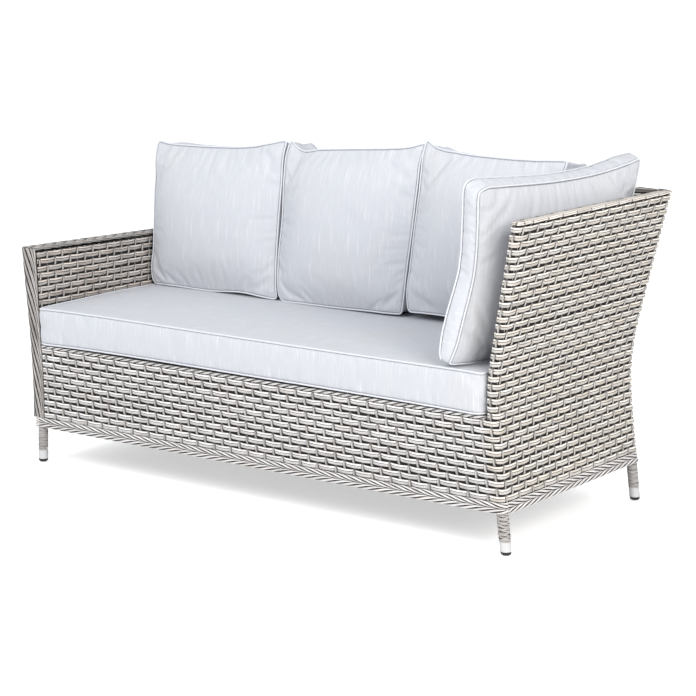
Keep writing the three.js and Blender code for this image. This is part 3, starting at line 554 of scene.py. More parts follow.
def stake(way, k, rows, peg, behind):
    """One stake through a range of rows: over the strip where it shows and behind it elsewhere."""
    steps = []
    for row in rows:
        turns = peg if (k + row) % 2 == 1 else behind
        steps += [(BRAID_TOP + (row + .5) * ROW + dz, depth, peg_shade) for dz, depth, peg_shade in turns]
    z, depth, peg_shade = np.array(steps).T
    count = column(k, 0) + STAKE_WAVER * np.sin(np.floor((z - BRAID_TOP) / ROW))
    points = place(way, count[:, None] + STAKE_SECTION[:, 0] * (STAKE_HALF / BRICK), z[:, None],
                   depth[:, None] + STAKE_SECTION[:, 1])
    return (points[:, ::-1], z * MM + k * STAKE_APART[0],
            STAKE_SECTION[::-1, 0] * STAKE_HALF * MM + k * STAKE_APART[1],
            np.maximum(STAKE_PAINTED_SHADE[::-1], peg_shade[:, None]))


print("stake 9 stands at", round(float(column(9)), 3), "bricks")

# %% [markdown]
# Between the rows stay narrow gaps, and they look black. A thin near-black sheet just behind the strips
# paints that shadow here: it keeps the daylight of the other side out, as the depth of the wall does on the
# real sofa, which has no such sheet. A panel is then three pieces, the strips, the stakes and the shadow
# sheet, each one mesh.

# %% Put a panel together
SHADOW_SHEET_DEPTH, SHADOW_SHEET_HALF, SHADOW_SHEET_RISE = 11.6, 0.3, 3.5
STAKE_CLEAR = .02                # no stake stands closer to a patch's end than this, in bricks
FINE = ((STRIP_FINE, FINE_PAINTED_SHADE, SHARES_FINE), (PEG_FINE, BEHIND_FINE))
PLAIN = ((STRIP_PLAIN, PLAIN_PAINTED_SHADE, SHARES_PLAIN), (PEG_PLAIN, BEHIND_PLAIN))


def shadow_sheet(way, first, last, low, high):
    """A thin near-black sheet just behind the strips of a patch, a painted shadow; at the very top it rises a
    little more.
    """
    counts = np.linspace(first, last, int((last - first) * 4) + 2)
    z = BRAID_TOP + ROW * np.arange(low, high + 1) + np.where(np.arange(low, high + 1) == ROWS, SHADOW_SHEET_RISE, 0)
    depth = SHADOW_SHEET_DEPTH + SHADOW_SHEET_HALF * np.where(np.arange(2 * len(z)) < len(z), 1, -1)
    z = np.concatenate([z, z[::-1]])
    return place(way, counts[:, None], z, depth), counts * BRICK * MM, z * MM


def weave(name, *patches, fine=True, finish=None, nodes=()):
    """A woven panel from patches of a route: (route, first count, last count, low row, high row)."""
    strip_kind, stake_kind = FINE if fine else PLAIN
    strips, stakes = [], []
    for way, first, last, low, high in patches:
        strips += [strip(way, row, first, last, *strip_kind) for row in range(low, high)]
        k = np.arange(math.ceil(2 * first), math.floor(2 * last) + 1)
        k = [n for n in k if first + STAKE_CLEAR < column(n) < last - STAKE_CLEAR]
        stakes += [stake(way, n, range(low, high), *stake_kind) for n in k]
    panel = swept_object(name, strips)
    pegs = swept_object(name + "_stakes", stakes)
    dress(panel, finish or ivory_cane, "wicker", *nodes)
    dress(pegs, peg_cane, "wicker")
    # the panel's shadow sheet: a painted shadow behind the strips
    dress(swept_object(name + "_liner", [shadow_sheet(*patch) for patch in patches]), painted_shadow, "wicker")
    print(name, len(strips), "strips,", len(stakes), "stakes,", len(panel.data.polygons), "faces")


# %% [markdown]
# The skirt, the high end and the arm's inside are seen from near, so their strips get the fine
# section. The other panels get a plainer one with fewer points. Each panel is one or two patches
# of a route: the high end and the back change routes where the seat or the arm stops.

# %% Weave the seven panels
NOSE = 18.3 / BRICK              # the skirt stops this far before the post's middle
BEHIND_PLAIT, BEHIND_BACK, ROUND_ARM = .36, .3, .19     # where panels start and end, in bricks
weave("skirt_weave", (lower, FRONT_START + BEHIND_PLAIT, FRONT_END - NOSE, 0, SKIRT_ROWS),
      nodes=["front_skirt_weave"])
weave("high_end_weave", (lower, FRONT_END - NOSE, END_DONE, 0, SKIRT_ROWS),
      (upper, FRONT_END - CORNER, END_DONE, SKIRT_ROWS, ROWS), finish=warm_lit_cane, nodes=["end_outer_weave"])
weave("high_end_lining", (upper, upper[0][0] + BEHIND_BACK, FRONT_END - CORNER, SEAT_ROW, ROWS),
      fine=False, nodes=["end_inner_weave"])
weave("back_weave", (lower, END_DONE, BACK_DONE + CORNER, 0, ARM_ROWS),
      (upper, END_DONE, BACK_DONE + 2 * CORNER, ARM_ROWS, ROWS),
      fine=False, nodes=["back_outer_weave", "back_left_end_weave"])
LINING_START, LINING_END = BACK_DONE + 2 * CORNER, upper[0][-1] - BEHIND_BACK
weave("back_lining", (upper, LINING_START + BEHIND_BACK, LINING_END, SEAT_ROW, ARM_ROWS),
      (upper, LINING_START, LINING_END, ARM_ROWS, ROWS), fine=False, nodes=["back_inner_weave"])
weave("arm_weave", (lower, BACK_DONE + CORNER, lower[0][-1] + ROUND_ARM, 0, ARM_ROWS), fine=False,
      nodes=["arm_outer_weave"])
weave("arm_lining", (inner_arm, -ROUND_ARM, ARM_BRICKS - BEHIND_BACK, SEAT_ROW, ARM_ROWS), finish=shaded_cane,
      nodes=["arm_inner_weave"])

# %% [markdown]
# ## Ropes and plaits
# The edges are finished with ropes and plaits of the same cane. A rope is a few strands that
# wind round a common line, so it shows slanting strands. An array of one strand along a curve
# could do it, but the ropes have to follow the leaning walls and their corners. So each strand's
# path is worked out on the wall itself: how far round the rope it is, and how far along.

# %% Twist one rope
# a strand's section, across and out, and how much painted shade each of its points gets
CANE_SECTION = np.array([(-1, -.3), (-.78, .7), (-.4, 1), (0, .35), (.4, 1), (.78, .7), (1, -.3),
                         (.5, -1), (-.5, -1)])
# MID_LINE: the painted shade in the groove along a strand's middle
MID_LINE = 0.9                   # how dark the line along a strand's middle is
STEP, LEAST_STEPS = 6.0, 8       # millimetres between the sections of a rope, and how few it may have
STRAND_APART = (3.1, .7)         # each strand reads the cane's streaks this much further on, in metres


# painted shade: darkest at the edges and the back, and in the groove along the middle
def strand_painted_shade(mid_line=MID_LINE):
    return np.array([1, .15, 0, mid_line, .05, .3, 1, 1, 1])


def rope(at, first, last, per_unit, strands, lay, hand, rise, reach, wide, thin, edge=2.4, seed=0,
         mid_line=MID_LINE):
    """Strands wound about a line. at(count, across, out) places a point; per_unit is mm per count."""
    counts = np.linspace(first, last, max(LEAST_STEPS, int(abs(last - first) * per_unit / STEP)))
    run = (counts - first) * per_unit
    made = []
    for i in range(strands):
        angle = hand * 2 * math.pi * run / lay + 2 * math.pi * i / strands
        a, b = CANE_SECTION[:, 0], CANE_SECTION[:, 1]
        sin, cos = np.sin(angle)[:, None], np.cos(angle)[:, None]
        across = (rise + b * thin) * sin + a * wide * cos
        out = (reach + b * thin) * cos - a * edge * sin
        made.append((at(counts[:, None], across, out), run * MM + i * STRAND_APART[0] + seed,
                     a * wide * MM + i * STRAND_APART[1] + seed, strand_painted_shade(mid_line)))
    return made


def beside(way, z, depth):
    """A line along a wall's face, for ropes that stand against it."""
    return lambda count, across, out: place(way, count, z + across, depth + out)


def on_top(way, z, depth):
    """A line along a wall's top, for ropes that lie on it."""
    return lambda count, across, out: place(way, count, z + out, depth + across)


def finish_rope(name, strands, finish, *nodes):
    made = swept_object(name, strands)
    dress(made, finish, "plaited_edge", *nodes)
    print(name, len(strands), "strands,", len(made.data.polygons), "faces")


print("a strand's section has", len(CANE_SECTION), "points")

# %% [markdown]
# Two ropes of opposite lay, one above the other, give the arrow pattern along the bottom. They go all round
# the sofa, in one piece for each side, and a near-black sheet behind them stands for the shade inside the
# wall: painted shadow.

# %% Lay the two ropes round the bottom
BASE_ROPE = dict(strands=4, lay=2.3 * BRICK, rise=5.3, reach=2.6, wide=2.8, thin=1.7, mid_line=.4)
BASE_TIERS = ((113.2, 1), (128.9, -1))       # the height and the hand of each rope
ROPE_DEPTH = 15.3
ROPE_OVERLAP = 0.2               # the front rope runs this far past the low arm's corner, in bricks
BASE_SHADOW_SHEET_STEPS, BASE_SHADOW_SHEET_DEPTH = 260, SHADOW_SHEET_DEPTH - .6
BASE_SHADOW_SHEET_HEIGHTS = np.array([106.0, 136, 136, 106])
SHADOW_SHEET_FACES = np.array([1, 1, -1, -1])


def base_ropes(way, first, last, seed):
    made = []
    for z, hand in BASE_TIERS:
        made += rope(beside(way, z, ROPE_DEPTH), first, last, BRICK, hand=hand, seed=seed + z, **BASE_ROPE)
    return made


base_counts = np.linspace(FRONT_START, BACK_DONE + CORNER, BASE_SHADOW_SHEET_STEPS)[:, None]
base_sheet = place(lower, base_counts, BASE_SHADOW_SHEET_HEIGHTS, BASE_SHADOW_SHEET_DEPTH + SHADOW_SHEET_HALF * SHADOW_SHEET_FACES)
# a near-black sheet behind the base ropes: painted shadow
dress(swept_object("base_shadow_sheet", [(base_sheet, np.arange(float(BASE_SHADOW_SHEET_STEPS)), np.arange(4.0))]),
      painted_shadow, "plaited_edge")
finish_rope("skirt_base_rope", base_ropes(lower, FRONT_START - ROPE_OVERLAP, FRONT_END + CORNER, 0),
            rope_cane, "front_base_braid")
finish_rope("high_end_base_rope", base_ropes(lower, FRONT_END + CORNER, END_DONE, 5), rope_cane,
            "end_base_braid")
finish_rope("back_base_rope", base_ropes(lower, END_DONE, BACK_DONE + CORNER, 9), rope_cane,
            "back_base_braid")
arm_side = route(BACK_DONE + CORNER, (ARM_BRICKS, arm),
                 (CORNER, around(x_arm, y_front, 180, 270, arm_growth)))
finish_rope("arm_base_rope", base_ropes(arm_side, arm_side[0][0], arm_side[0][-1], 13), rope_cane,
            "arm_base_braid")

# %% [markdown]
# A slimmer pair of two-strand ropes finishes the skirt under the seat cushion. A wide flat rope of eight
# strands covers the front of the low arm. It is much wider than it is thick, so its strands cross its face at
# a steep slant, and a near-black sheet behind it, a painted shadow, shows black between them.

# %% Finish the skirt's edge and the front of the low arm
SKIRT_ROPE = dict(strands=2, lay=BRICK, hand=1, rise=2.3, reach=1.6, wide=3.2, thin=1.5, edge=1.4)
SKIRT_TOP, SKIRT_ROPE_START = 348.9, .37
SKIRT_DEPTHS = ((15.6, 0), (8.5, 4))         # the depth of each rope, and its seed
PLAIT_ROPE = dict(strands=8, lay=390, hand=-1, rise=15.4, reach=1.7, wide=3.9, thin=2.2, edge=2.6)
PLAIT_LOW, PLAIT_HIGH = 136, 634
PLAIT_SHIFT, PLAIT_DEPTH = 3.5, 15.4         # how far it lies to the left of the post, and in front of it
SHADOW_BACKING_LOW, SHADOW_BACKING_HIGH, SHADOW_BACKING_STEPS = 138, 622, 60
SHADOW_BACKING_ACROSS, SHADOW_BACKING_OUT = np.array([-14.0, 14, 14, -14]), np.array([-2.4, -2.4, -3, -3])

skirt_edge = []
for depth, seed in SKIRT_DEPTHS:
    skirt_edge += rope(beside(lower, SKIRT_TOP, depth), FRONT_START + SKIRT_ROPE_START, FRONT_END - NOSE,
                       BRICK, seed=seed, **SKIRT_ROPE)
finish_rope("skirt_top_rope", skirt_edge, rope_cane, "skirt_top_border")


def up_the_post(z, across, out):
    """The front of the low arm: counts are heights, and it faces forwards."""
    wide = (WALL_HALF + arm_growth(z)) / WALL_HALF
    return np.stack(np.broadcast_arrays(x_arm(z) - PLAIT_SHIFT + across * wide,
                                        Y_FRONT - PLAIT_DEPTH - out, z), -1)


finish_rope("arm_front_plait_strands", rope(up_the_post, PLAIT_LOW, PLAIT_HIGH, 1, **PLAIT_ROPE),
            plait_cane, "arm_front_plait")
shadow_backing_heights = np.linspace(SHADOW_BACKING_LOW, SHADOW_BACKING_HIGH, SHADOW_BACKING_STEPS)[:, None]
shadow_backing = up_the_post(shadow_backing_heights, SHADOW_BACKING_ACROSS, SHADOW_BACKING_OUT)
# a near-black sheet behind the plait: painted shadow
dress(swept_object("arm_front_shadow_sheet", [(shadow_backing, np.arange(float(SHADOW_BACKING_STEPS)), np.arange(4.0))]),
      painted_shadow, "plaited_edge")

# %% [markdown]
# Three wide ropes lie side by side over the low arm, and the middle one has the opposite lay, so
# the top reads as a braid. Like the rows below them they rise to the front and fall to the rear.

# %% Cover the top of the low arm
COVER_ROPE = dict(strands=3, lay=130, rise=7.0, reach=2.4, wide=6.6, thin=2.2, edge=2.8)
# how far the cover reaches before the front post and stops before the back's line, and its height
COVER_FRONT, COVER_REAR, COVER_TOP = 17.5, 19, 621.5
COVER_MEASURED = 620             # the height at which its length is measured
COVER_LINES = ((-18.3, 1), (0, -1), (18.3, 1))   # where each rope lies across the arm, and its hand


def cover_front(z):
    return np.full(np.shape(z), Y_FRONT - COVER_FRONT)


def cover_rear(z):
    return y_back(z) - COVER_REAR


over_arm = route(0, (1.0, straight(x_arm, cover_front, x_arm, cover_rear, (1, 0), inner_slope)))
arm_length = float(cover_rear(COVER_MEASURED) - Y_FRONT + COVER_FRONT)
arm_cover = []
for across, hand in COVER_LINES:
    arm_cover += rope(on_top(over_arm, COVER_TOP, across), 0, 1, arm_length, hand=hand, seed=across,
                      **COVER_ROPE)
finish_rope("arm_top_rope", arm_cover, taupe_cane, "arm_top_braid")

# %% [markdown]
# Flat borders close the top of the high end and of the back. They aren't twisted: short lengths of strip are
# laid like shingles, each starting under the one before it, and a fine line of painted shade shows where it
# comes out. Two strips lie on top, and one on each side leans over the edge.

# %% Lay the flat borders
# where each length gets a section, and up to where it gets painted shade, in shares of the length
LAP_SHARES = np.array([0, .1, .19, .215, .3, .5, .7, .85, 1])
LAP_DARK = 0.2
UNDER_LAST, OVER_NEXT, SHORTEST = .1, .04, .15   # how lengths overlap, in bricks
LAP_RISE, LAP_APART = 1.5, .3    # how much further out a length ends than it starts, in mm


def lapped(at, first, last, wide, thin, slide, seed=0):
    """Short lengths of strip laid like shingles: each starts under the one before it."""
    made = []
    for k in range(math.floor(first), math.ceil(last)):
        begin, stop = max(first, column(2 * k) - UNDER_LAST), min(last, column(2 * k + 2) + OVER_NEXT)
        if stop - begin < SHORTEST:
            continue
        share = LAP_SHARES[:, None]
        counts = begin + (stop - begin) * LAP_SHARES
        a, b = CANE_SECTION[:, 0], CANE_SECTION[:, 1]
        across = a * wide + slide * (share - .5)
        out = b * thin + LAP_RISE * (share - .5)
        made.append((at(counts[:, None], across, out), counts * BRICK * MM + k + seed,
                     a * wide * MM + k * LAP_APART + seed, np.maximum(strand_painted_shade(), share < LAP_DARK)))
    return made


def tilted(way, z, depth, tilt):
    """A line along a wall's upper edge, for strips that face outwards and up."""
    c, s = math.cos(tilt), math.sin(tilt)
    return lambda count, across, out: place(way, count, z + across * c + out * s,
                                            depth - across * s + out * c)


# each strip: its line, then half its width, its thickness and its slide, and what its seed adds
TOP_STRIP, TOP_HEIGHT = (6.8, 1.5, 1.6), 847.6
BORDER_STRIPS = [(tilted(upper, 847, 15.2, .55), (4.4, 1.3, 1.4), 0)]
BORDER_STRIPS += [(on_top(upper, TOP_HEIGHT, depth), TOP_STRIP, depth) for depth in (7.2, -7.2)]
BORDER_STRIPS += [(tilted(upper, 846.2, -15.6, -.5), (4.5, 1.3, -1.0), 3)]


def border(first, last, seed):
    made = []
    for line, shape, shift in BORDER_STRIPS:
        made += lapped(line, first, last, *shape, seed + shift)
    return made


finish_rope("high_end_border", border(FRONT_END - CORNER, END_DONE - CORNER / 2, 0), warm_lit_cane,
            "end_top_border")
finish_rope("back_border", border(END_DONE - CORNER / 2, BACK_DONE + 2 * CORNER, 20), taupe_cane,
            "back_top_border")

# %% [markdown]
# ## Legs
# Below the weave each steel leg is wound with a narrower cane, turn against turn. Its lower end
# sits in a bright metal cup, and under that a black plastic glide keeps it off the paving. All
# three follow the slight lean of the post. The cup and the glide are profiles turned about it,
# and the winding is one long strip, so that the turns show as they do on a real leg.

# %% Turn a profile, and wind a strip about a leg
AROUND = 24                      # points round a leg
# each profile: radius and height, from bottom to top
GLIDE_PROFILE = np.array([(0.3, 0), (6.8, .1), (10.2, 1), (12.6, 2.8), (13.8, 5.2), (14.2, 7),
                          (14.2, 8.4), (13.6, 9), (7, 9.2)])
FERRULE_PROFILE = np.array([(11.5, 9.4), (14.1, 9.5), (14.8, 10.3), (14.6, 11.5), (14.6, 36), (11.5, 36.2)])
TURNED_RADIUS = 13               # the radius at which the finish measures the way round
TURN_HIGH, TURN_FILL = 5.5, .98  # the height of one turn, and how much of it the cane fills
WINDING_TOP, WINDING_WIDE = 106.5, 5
WINDING_SECTION = np.array([(-.5, -1.5), (-.42, -.4), (-.2, 0), (0, -.22), (.2, 0), (.42, -.4), (.5, -1.5),
                            (.3, -2.4), (-.3, -2.4)])
# how much painted shade each point of the winding's section gets: at its edges between turns and along its
# middle
WINDING_PAINTED_SHADE = np.array([1, .25, 0, .45, 0, .35, 1, 1, 1])
STRAY_QUICK, STRAY_SLOW, SWELL_PACE = 2.43, .61, 1.37    # how often the turns stray and swell
STRAY_SHARE, SWELL_SHARE = .6, .25
STEADY = 9                       # the first and last turns settle over this angle, in radians


def turned(x, y, profile):
    """A turned piece about a leg: profile is (radius, height) from bottom to top."""
    angle = 2 * math.pi * np.arange(AROUND) / AROUND
    radius, z = profile[:, :1], profile[:, 1]
    rings = np.stack([x(z)[:, None] + radius * np.cos(angle), y(z)[:, None] + radius * np.sin(angle),
                      np.repeat(z[:, None], AROUND, 1)], -1)
    return rings, z * MM, angle * TURNED_RADIUS * MM


def winding(x, y, low, reach, waver, seed):
    """One strip wound up a leg; waver is how far the turns stray up and down."""
    turns = (WINDING_TOP - low) / TURN_HIGH
    angle = np.linspace(0, 2 * math.pi * turns, int(turns * AROUND))
    quick, slow = np.sin(angle * STRAY_QUICK + seed), np.sin(angle * STRAY_SLOW + 2 * seed)
    stray = waver * quick + STRAY_SHARE * waver * slow
    stray = stray * smooth(0, STEADY, angle) * smooth(0, STEADY, angle[-1] - angle)
    centre = low + TURN_HIGH * (angle / 2 / math.pi + .5) + stray
    z = centre[:, None] + WINDING_SECTION[:, 0] * TURN_HIGH * TURN_FILL
    swell = SWELL_SHARE * waver * np.sin(angle * SWELL_PACE + seed)[:, None]
    radius = reach + WINDING_SECTION[:, 1] + swell
    points = np.stack([x(z) + radius * np.cos(angle)[:, None], y(z) - radius * np.sin(angle)[:, None], z], -1)
    return (points[:, ::-1], angle * reach * MM + seed,
            WINDING_SECTION[::-1, 0] * WINDING_WIDE * MM + seed, WINDING_PAINTED_SHADE[::-1])


print("a leg gets about", round((WINDING_TOP - FERRULE_PROFILE[-1, 1]) / TURN_HIGH), "turns")

# %% [markdown]
# The glide is moulded black plastic with a fine grain. The cup is pressed metal: fine lines run
# round it, which a noise gives that is stretched the other way. It is only slightly metallic here,
# because the cups in the photograph are pale and mirror little.

# %% Mix the glide's and the cup's finish, and make the four legs
GLIDE_GRAIN, BRUSHED = (900, 900), (1500, 25)
glide_black, tree, shader = new_finish("glide_black", 0.38, (0.012, 0.012, 0.013))
grain = noise(tree, stretched(tree, *GLIDE_GRAIN), 1.0)
tree.links.new(bump(tree, grain, 0.2, 0.0002), shader.inputs["Normal"])
cup_metal, tree, shader = new_finish("cup_metal", 0.3, (0.61, 0.62, 0.64))
brushed = noise(tree, stretched(tree, *BRUSHED), 1.0, 2.0, 0.5)
brushed_tone = ramp(tree, brushed, (0.3, (0.57, 0.575, 0.59)), (0.7, (0.65, 0.655, 0.67)))
tree.links.new(brushed_tone, shader.inputs["Base Color"])
tree.links.new(bump(tree, brushed, 0.15, 0.0002), shader.inputs["Normal"])
shader.inputs["Metallic"].default_value = 0.25

# each leg: its lean across and along, then where its winding starts, its radius and its waver
LEGS = {"front_left": (x_arm, y_front, 36, 14.5, .3), "rear_left": (x_arm, y_back, 36, 14.5, .3),
        "front_right": (x_end, y_front, 33.5, 15.7, 1.7), "rear_right": (x_end, y_back, 33.5, 14.8, .45)}
LEG_APART = 1.7                  # each winding strays, and reads its streaks, this much further on
for number, (corner, (x, y, low, reach, waver)) in enumerate(LEGS.items()):
    dress(swept_object(corner + "_glide_dome", [turned(x, y, GLIDE_PROFILE)]), glide_black, "glide",
          corner + "_glide")
    dress(swept_object(corner + "_cup", [turned(x, y, FERRULE_PROFILE)]), cup_metal, "ferrule",
          corner + "_ferrule")
    wound = swept_object(corner + "_cane_turns", [winding(x, y, low, reach, waver, number * LEG_APART)])
    turns = dress(wound, leg_cane, "wicker", corner + "_leg_winding")
    print(corner, "leg:", len(turns.data.polygons), "faces of winding")

# %% [markdown]
# ## The deck
# Under the seat cushion lies a deck of the same strips, woven over stakes that run from front to
# back. Nobody sees it while the cushion lies there, but it shows when the cushion is lifted. It is
# level, so plain straight strips do, each swinging up and down as it passes the others.

# %% Weave the deck
DECK_LEFT, DECK_RIGHT, DECK_FRONT, DECK_REAR, DECK_MIDDLE = -784, 761, -368, 287, 352
DECK_PITCH, DECK_STAKES, DECK_SWING = 19.2, 60.0, 1.25
ROW_HALF, DECK_STAKE_HALF, DECK_LIFT, DECK_FLAT = 7.8, 5.5, 1.5, .55
FIRST_ROW, LAST_ROW = DECK_FRONT + 9, DECK_REAR - 8
FIRST_STAKE, LAST_STAKE = DECK_LEFT + 30, DECK_RIGHT - 10
ROW_APART, DECK_STAKE_APART, STAKE_PHASE = 1.3, 2.1, .1


def deck_strip(x0, x1, y0, y1, half, phase, period, seed):
    """A strip over the deck from one place to another, which swings over and under."""
    length = math.hypot(x1 - x0, y1 - y0)
    run = np.arange(0, length + 1, period / 4)
    wave = DECK_SWING * np.cos(math.pi * run / period + phase)
    along = np.array([x1 - x0, y1 - y0]) / length
    a, b = STRIP_PLAIN[:, 0] * half, (STRIP_PLAIN[:, 1] + DECK_LIFT) * DECK_FLAT
    x = x0 + run[:, None] * along[0] - a * along[1]
    y = y0 + run[:, None] * along[1] + a * along[0]
    points = np.stack([x, y, DECK_MIDDLE + wave[:, None] + b], -1)
    return points[:, ::-1], run * MM + seed, a[::-1] * MM + seed, PLAIN_PAINTED_SHADE[::-1]


deck_rows, deck_stakes = [], []
for i, y in enumerate(np.arange(FIRST_ROW, LAST_ROW, DECK_PITCH)):
    deck_rows.append(deck_strip(DECK_LEFT, DECK_RIGHT, y, y, ROW_HALF, math.pi * i, DECK_STAKES,
                                i * ROW_APART))
for i, x in enumerate(np.arange(FIRST_STAKE, LAST_STAKE, DECK_STAKES)):
    deck_stakes.append(deck_strip(x, x, DECK_FRONT, DECK_REAR, DECK_STAKE_HALF,
                                  math.pi * (i + 1) - STAKE_PHASE, DECK_PITCH, i * DECK_STAKE_APART))
dress(swept_object("deck_strips", deck_rows), ivory_cane, "wicker", "seat_deck_weave")
dress(swept_object("deck_stakes", deck_stakes), peg_cane, "wicker")
print("deck:", len(deck_rows), "strips and", len(deck_stakes), "stakes")

# %% [markdown]
# ## The bare steel
# The tubes and bars of the frame keep their own shapes: they show only from below. Welded steel
# frames get a powder coat, which is slightly mottled and has a fine orange-peel surface. A coarse
# noise gives the mottling and a fine one the peel, both read straight from the place on the tube.

# %% Coat the tubes and bars
MOTTLE, PEEL = 30, 900           # how finely the coat is mottled and peeled, per metre
powder_coat, tree, shader = new_finish("powder_coat", 0.45, (0.42, 0.42, 0.41))
where = tree.nodes.new("ShaderNodeTexCoord").outputs["Object"]
mottle = ramp(tree, noise(tree, where, MOTTLE, 3.0), (0.3, (0.36, 0.36, 0.35)), (0.7, (0.46, 0.46, 0.45)))
tree.links.new(mottle, shader.inputs["Base Color"])
tree.links.new(bump(tree, noise(tree, where, PEEL, 2.0), 0.25, 0.0003), shader.inputs["Normal"])
shader.inputs["Metallic"].default_value = 0.3
coated = [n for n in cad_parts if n.endswith(("_post", "_rail", "_upright", "_1", "_2"))]
for name in coated:
    for material_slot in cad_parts[name].material_slots:
        material_slot.material = powder_coat
print("coated:", len(coated), "tubes and bars")

# %% [markdown]
# ## The cushions' covers
# Each cushion is a box cushion: two panels with a band between them, and a cord sewn into both
# seams. The panels pull in between their corners, and the soft corners stand up as ears, sag or
# fold over. So each edge gets seven offsets, read at seven spots along it, and every other point
# of the panel follows its four edges. The mesh is a grid with the seams along its edge loops, so
# the seams can be held still while the cover is blown up, and corded exactly afterwards.

# %% Draw a panel from its four edges
SPOTS = np.array([-1, -.8, -.5, 0, .5, .8, 1])
STRAIGHT = (0,) * len(SPOTS)
PINCH_REACH = 75                 # how far from a corner the panels are pinched together, in mm
CORNER_PULL, CORNER_CURVE = .29, 1.5     # how far a rounded corner is drawn in, as a share of its radius
SWELL_FALL, LIFT_FALL = 7, 3     # how steeply a swollen side and a raised front fall away
CROWN_CURVE = 2.2                # how full a panel is between its seams and its middle


def edge(offsets, at):
    """How far an edge strays from its straight line, smoothly between the seven spots."""
    offsets = np.asarray(offsets, float)
    slopes = np.gradient(offsets, SPOTS)
    i = np.clip(np.searchsorted(SPOTS, at, side="right") - 1, 0, len(SPOTS) - 2)
    span = SPOTS[i + 1] - SPOTS[i]
    t = np.clip((at - SPOTS[i]) / span, 0, 1)
    ease = t * t * (3 - 2 * t)
    bend = span * (slopes[i] * t * (1 - t)**2 - slopes[i + 1] * t * t * (1 - t))
    return offsets[i] * (1 - ease) + offsets[i + 1] * ease + bend


def near_corner(cushion, u, v, corner, reach):
    """1 at a corner and 0 from reach onwards, for places u and v from -1 to 1."""
    a = 1 - (1 - corner[0] * u) * cushion["width"] / 2 / reach
    b = 1 - (1 - corner[1] * v) * cushion["height"] / 2 / reach
    return np.clip(a, 0, 1) * np.clip(b, 0, 1)


def left_swell(cushion, u, v):
    """How far a panel's left edge is squeezed up by what it stands against."""
    return cushion.get("left_lift", 0) * ((1 - u) / 2)**SWELL_FALL * (1 - v * v)


def panel(cushion, side, u, v):
    """Where u across and v up a panel lie, in the cushion's own plane; side is front or rear."""
    left, right, bottom, top = cushion[side]
    x = u * cushion["width"] / 2 + edge(left, v) * (1 - u) / 2 + edge(right, v) * (1 + u) / 2
    y = v * cushion["height"] / 2 + edge(bottom, u) * (1 - v) / 2 + edge(top, u) * (1 + v) / 2
    if side == "front":
        lift = cushion.get("lift", STRAIGHT)
    else:
        lift = -np.asarray(cushion.get("rear_lift", STRAIGHT))
    z = cushion["band"] / 2 + edge(lift, u) * ((1 - v) / 2)**LIFT_FALL
    z = z + (left_swell(cushion, u, v) if side == "front" else 0)
    for corner, (radius, pinch) in cushion.get(side + "_corners", cushion["corners"]).items():
        pull = CORNER_PULL * radius * near_corner(cushion, u, v, corner, radius)**CORNER_CURVE
        x, y = x - corner[0] * pull, y - corner[1] * pull
        z = z - pinch * near_corner(cushion, u, v, corner, PINCH_REACH)**2
    return x, y, z if side == "front" else -z


def risen(distance, reach):
    return 1 - (1 - np.clip(distance / reach, 0, 1))**CROWN_CURVE


def crown(cushion, u, v):
    """0 along the seams and 1 in the middle of a panel."""
    reach = min(cushion["width"], cushion["height"]) / 2
    return (risen((1 - np.abs(u)) * cushion["width"] / 2, reach)
            * risen((1 - np.abs(v)) * cushion["height"] / 2, reach))


print("edge offsets between spots:", edge((0, 4, 8, 10, 8, 4, 0), np.array([-.9, 0, .9])).round(1))

# %% [markdown]
# The cover is built as one closed grid: a front panel, a rear panel, and rings of points between
# their two edge loops for the band. Grid lines make good cloth, because every little square can
# stretch and fold in the same way.

# %% Build a cover as one closed grid


def edge_loop(across, up):
    """Indices of a grid's outer points in order, starting at its lower left corner."""
    index = np.arange(across * up).reshape(across, up)
    return np.concatenate([index[:-1, 0], index[-1, :-1], index[:0:-1, -1], index[0, :0:-1]])


def grid_quads(across, up, flip):
    index = np.arange(across * up).reshape(across, up)
    quads = np.stack([index[:-1, :-1], index[1:, :-1], index[1:, 1:], index[:-1, 1:]], -1).reshape(-1, 4)
    return quads[:, ::-1] if flip else quads


def cover_points(cushion):
    """Points and faces of a cushion's cover in its own axes, with the two seams' indices."""
    step = cushion["step"]
    across, up = (int(cushion[size] / step) + 1 for size in ("width", "height"))
    u, v = np.meshgrid(np.linspace(-1, 1, across), np.linspace(-1, 1, up), indexing="ij")
    sheets = []
    for side, crowned in (("front", cushion["front_crown"]), ("rear", -cushion["rear_crown"])):
        x, y, z = panel(cushion, side, u, v)
        sheets.append(np.stack([x, y, z + crowned * crown(cushion, u, v)], -1).reshape(-1, 3))
    loop = edge_loop(across, up)
    first, last = sheets[0][loop], sheets[1][loop]
    outwards = np.roll(first, -1, 0) - np.roll(first, 1, 0)
    outwards = np.stack([outwards[:, 1], -outwards[:, 0], 0 * outwards[:, 0]], -1)
    outwards /= np.linalg.norm(outwards, axis=1)[:, None]
    rings = max(3, round(cushion["band"] / step))
    bands = [first + (last - first) * t + outwards * 4 * t * (1 - t) * cushion["band_swell"]
             for t in np.arange(1, rings) / rings]
    size = across * up
    between = [2 * size + i * len(loop) + np.arange(len(loop)) for i in range(rings - 1)]
    rows = [loop] + between + [loop + size]
    around_band = [np.stack([a, np.roll(a, -1), np.roll(b, -1), b], -1)[:, ::-1]
                   for a, b in zip(rows, rows[1:])]
    faces = np.concatenate([grid_quads(across, up, False), grid_quads(across, up, True) + size] + around_band)
    return np.concatenate(sheets + bands), faces, (loop, loop + size)


print("a grid of 3 by 3 has the outer loop", edge_loop(3, 3))

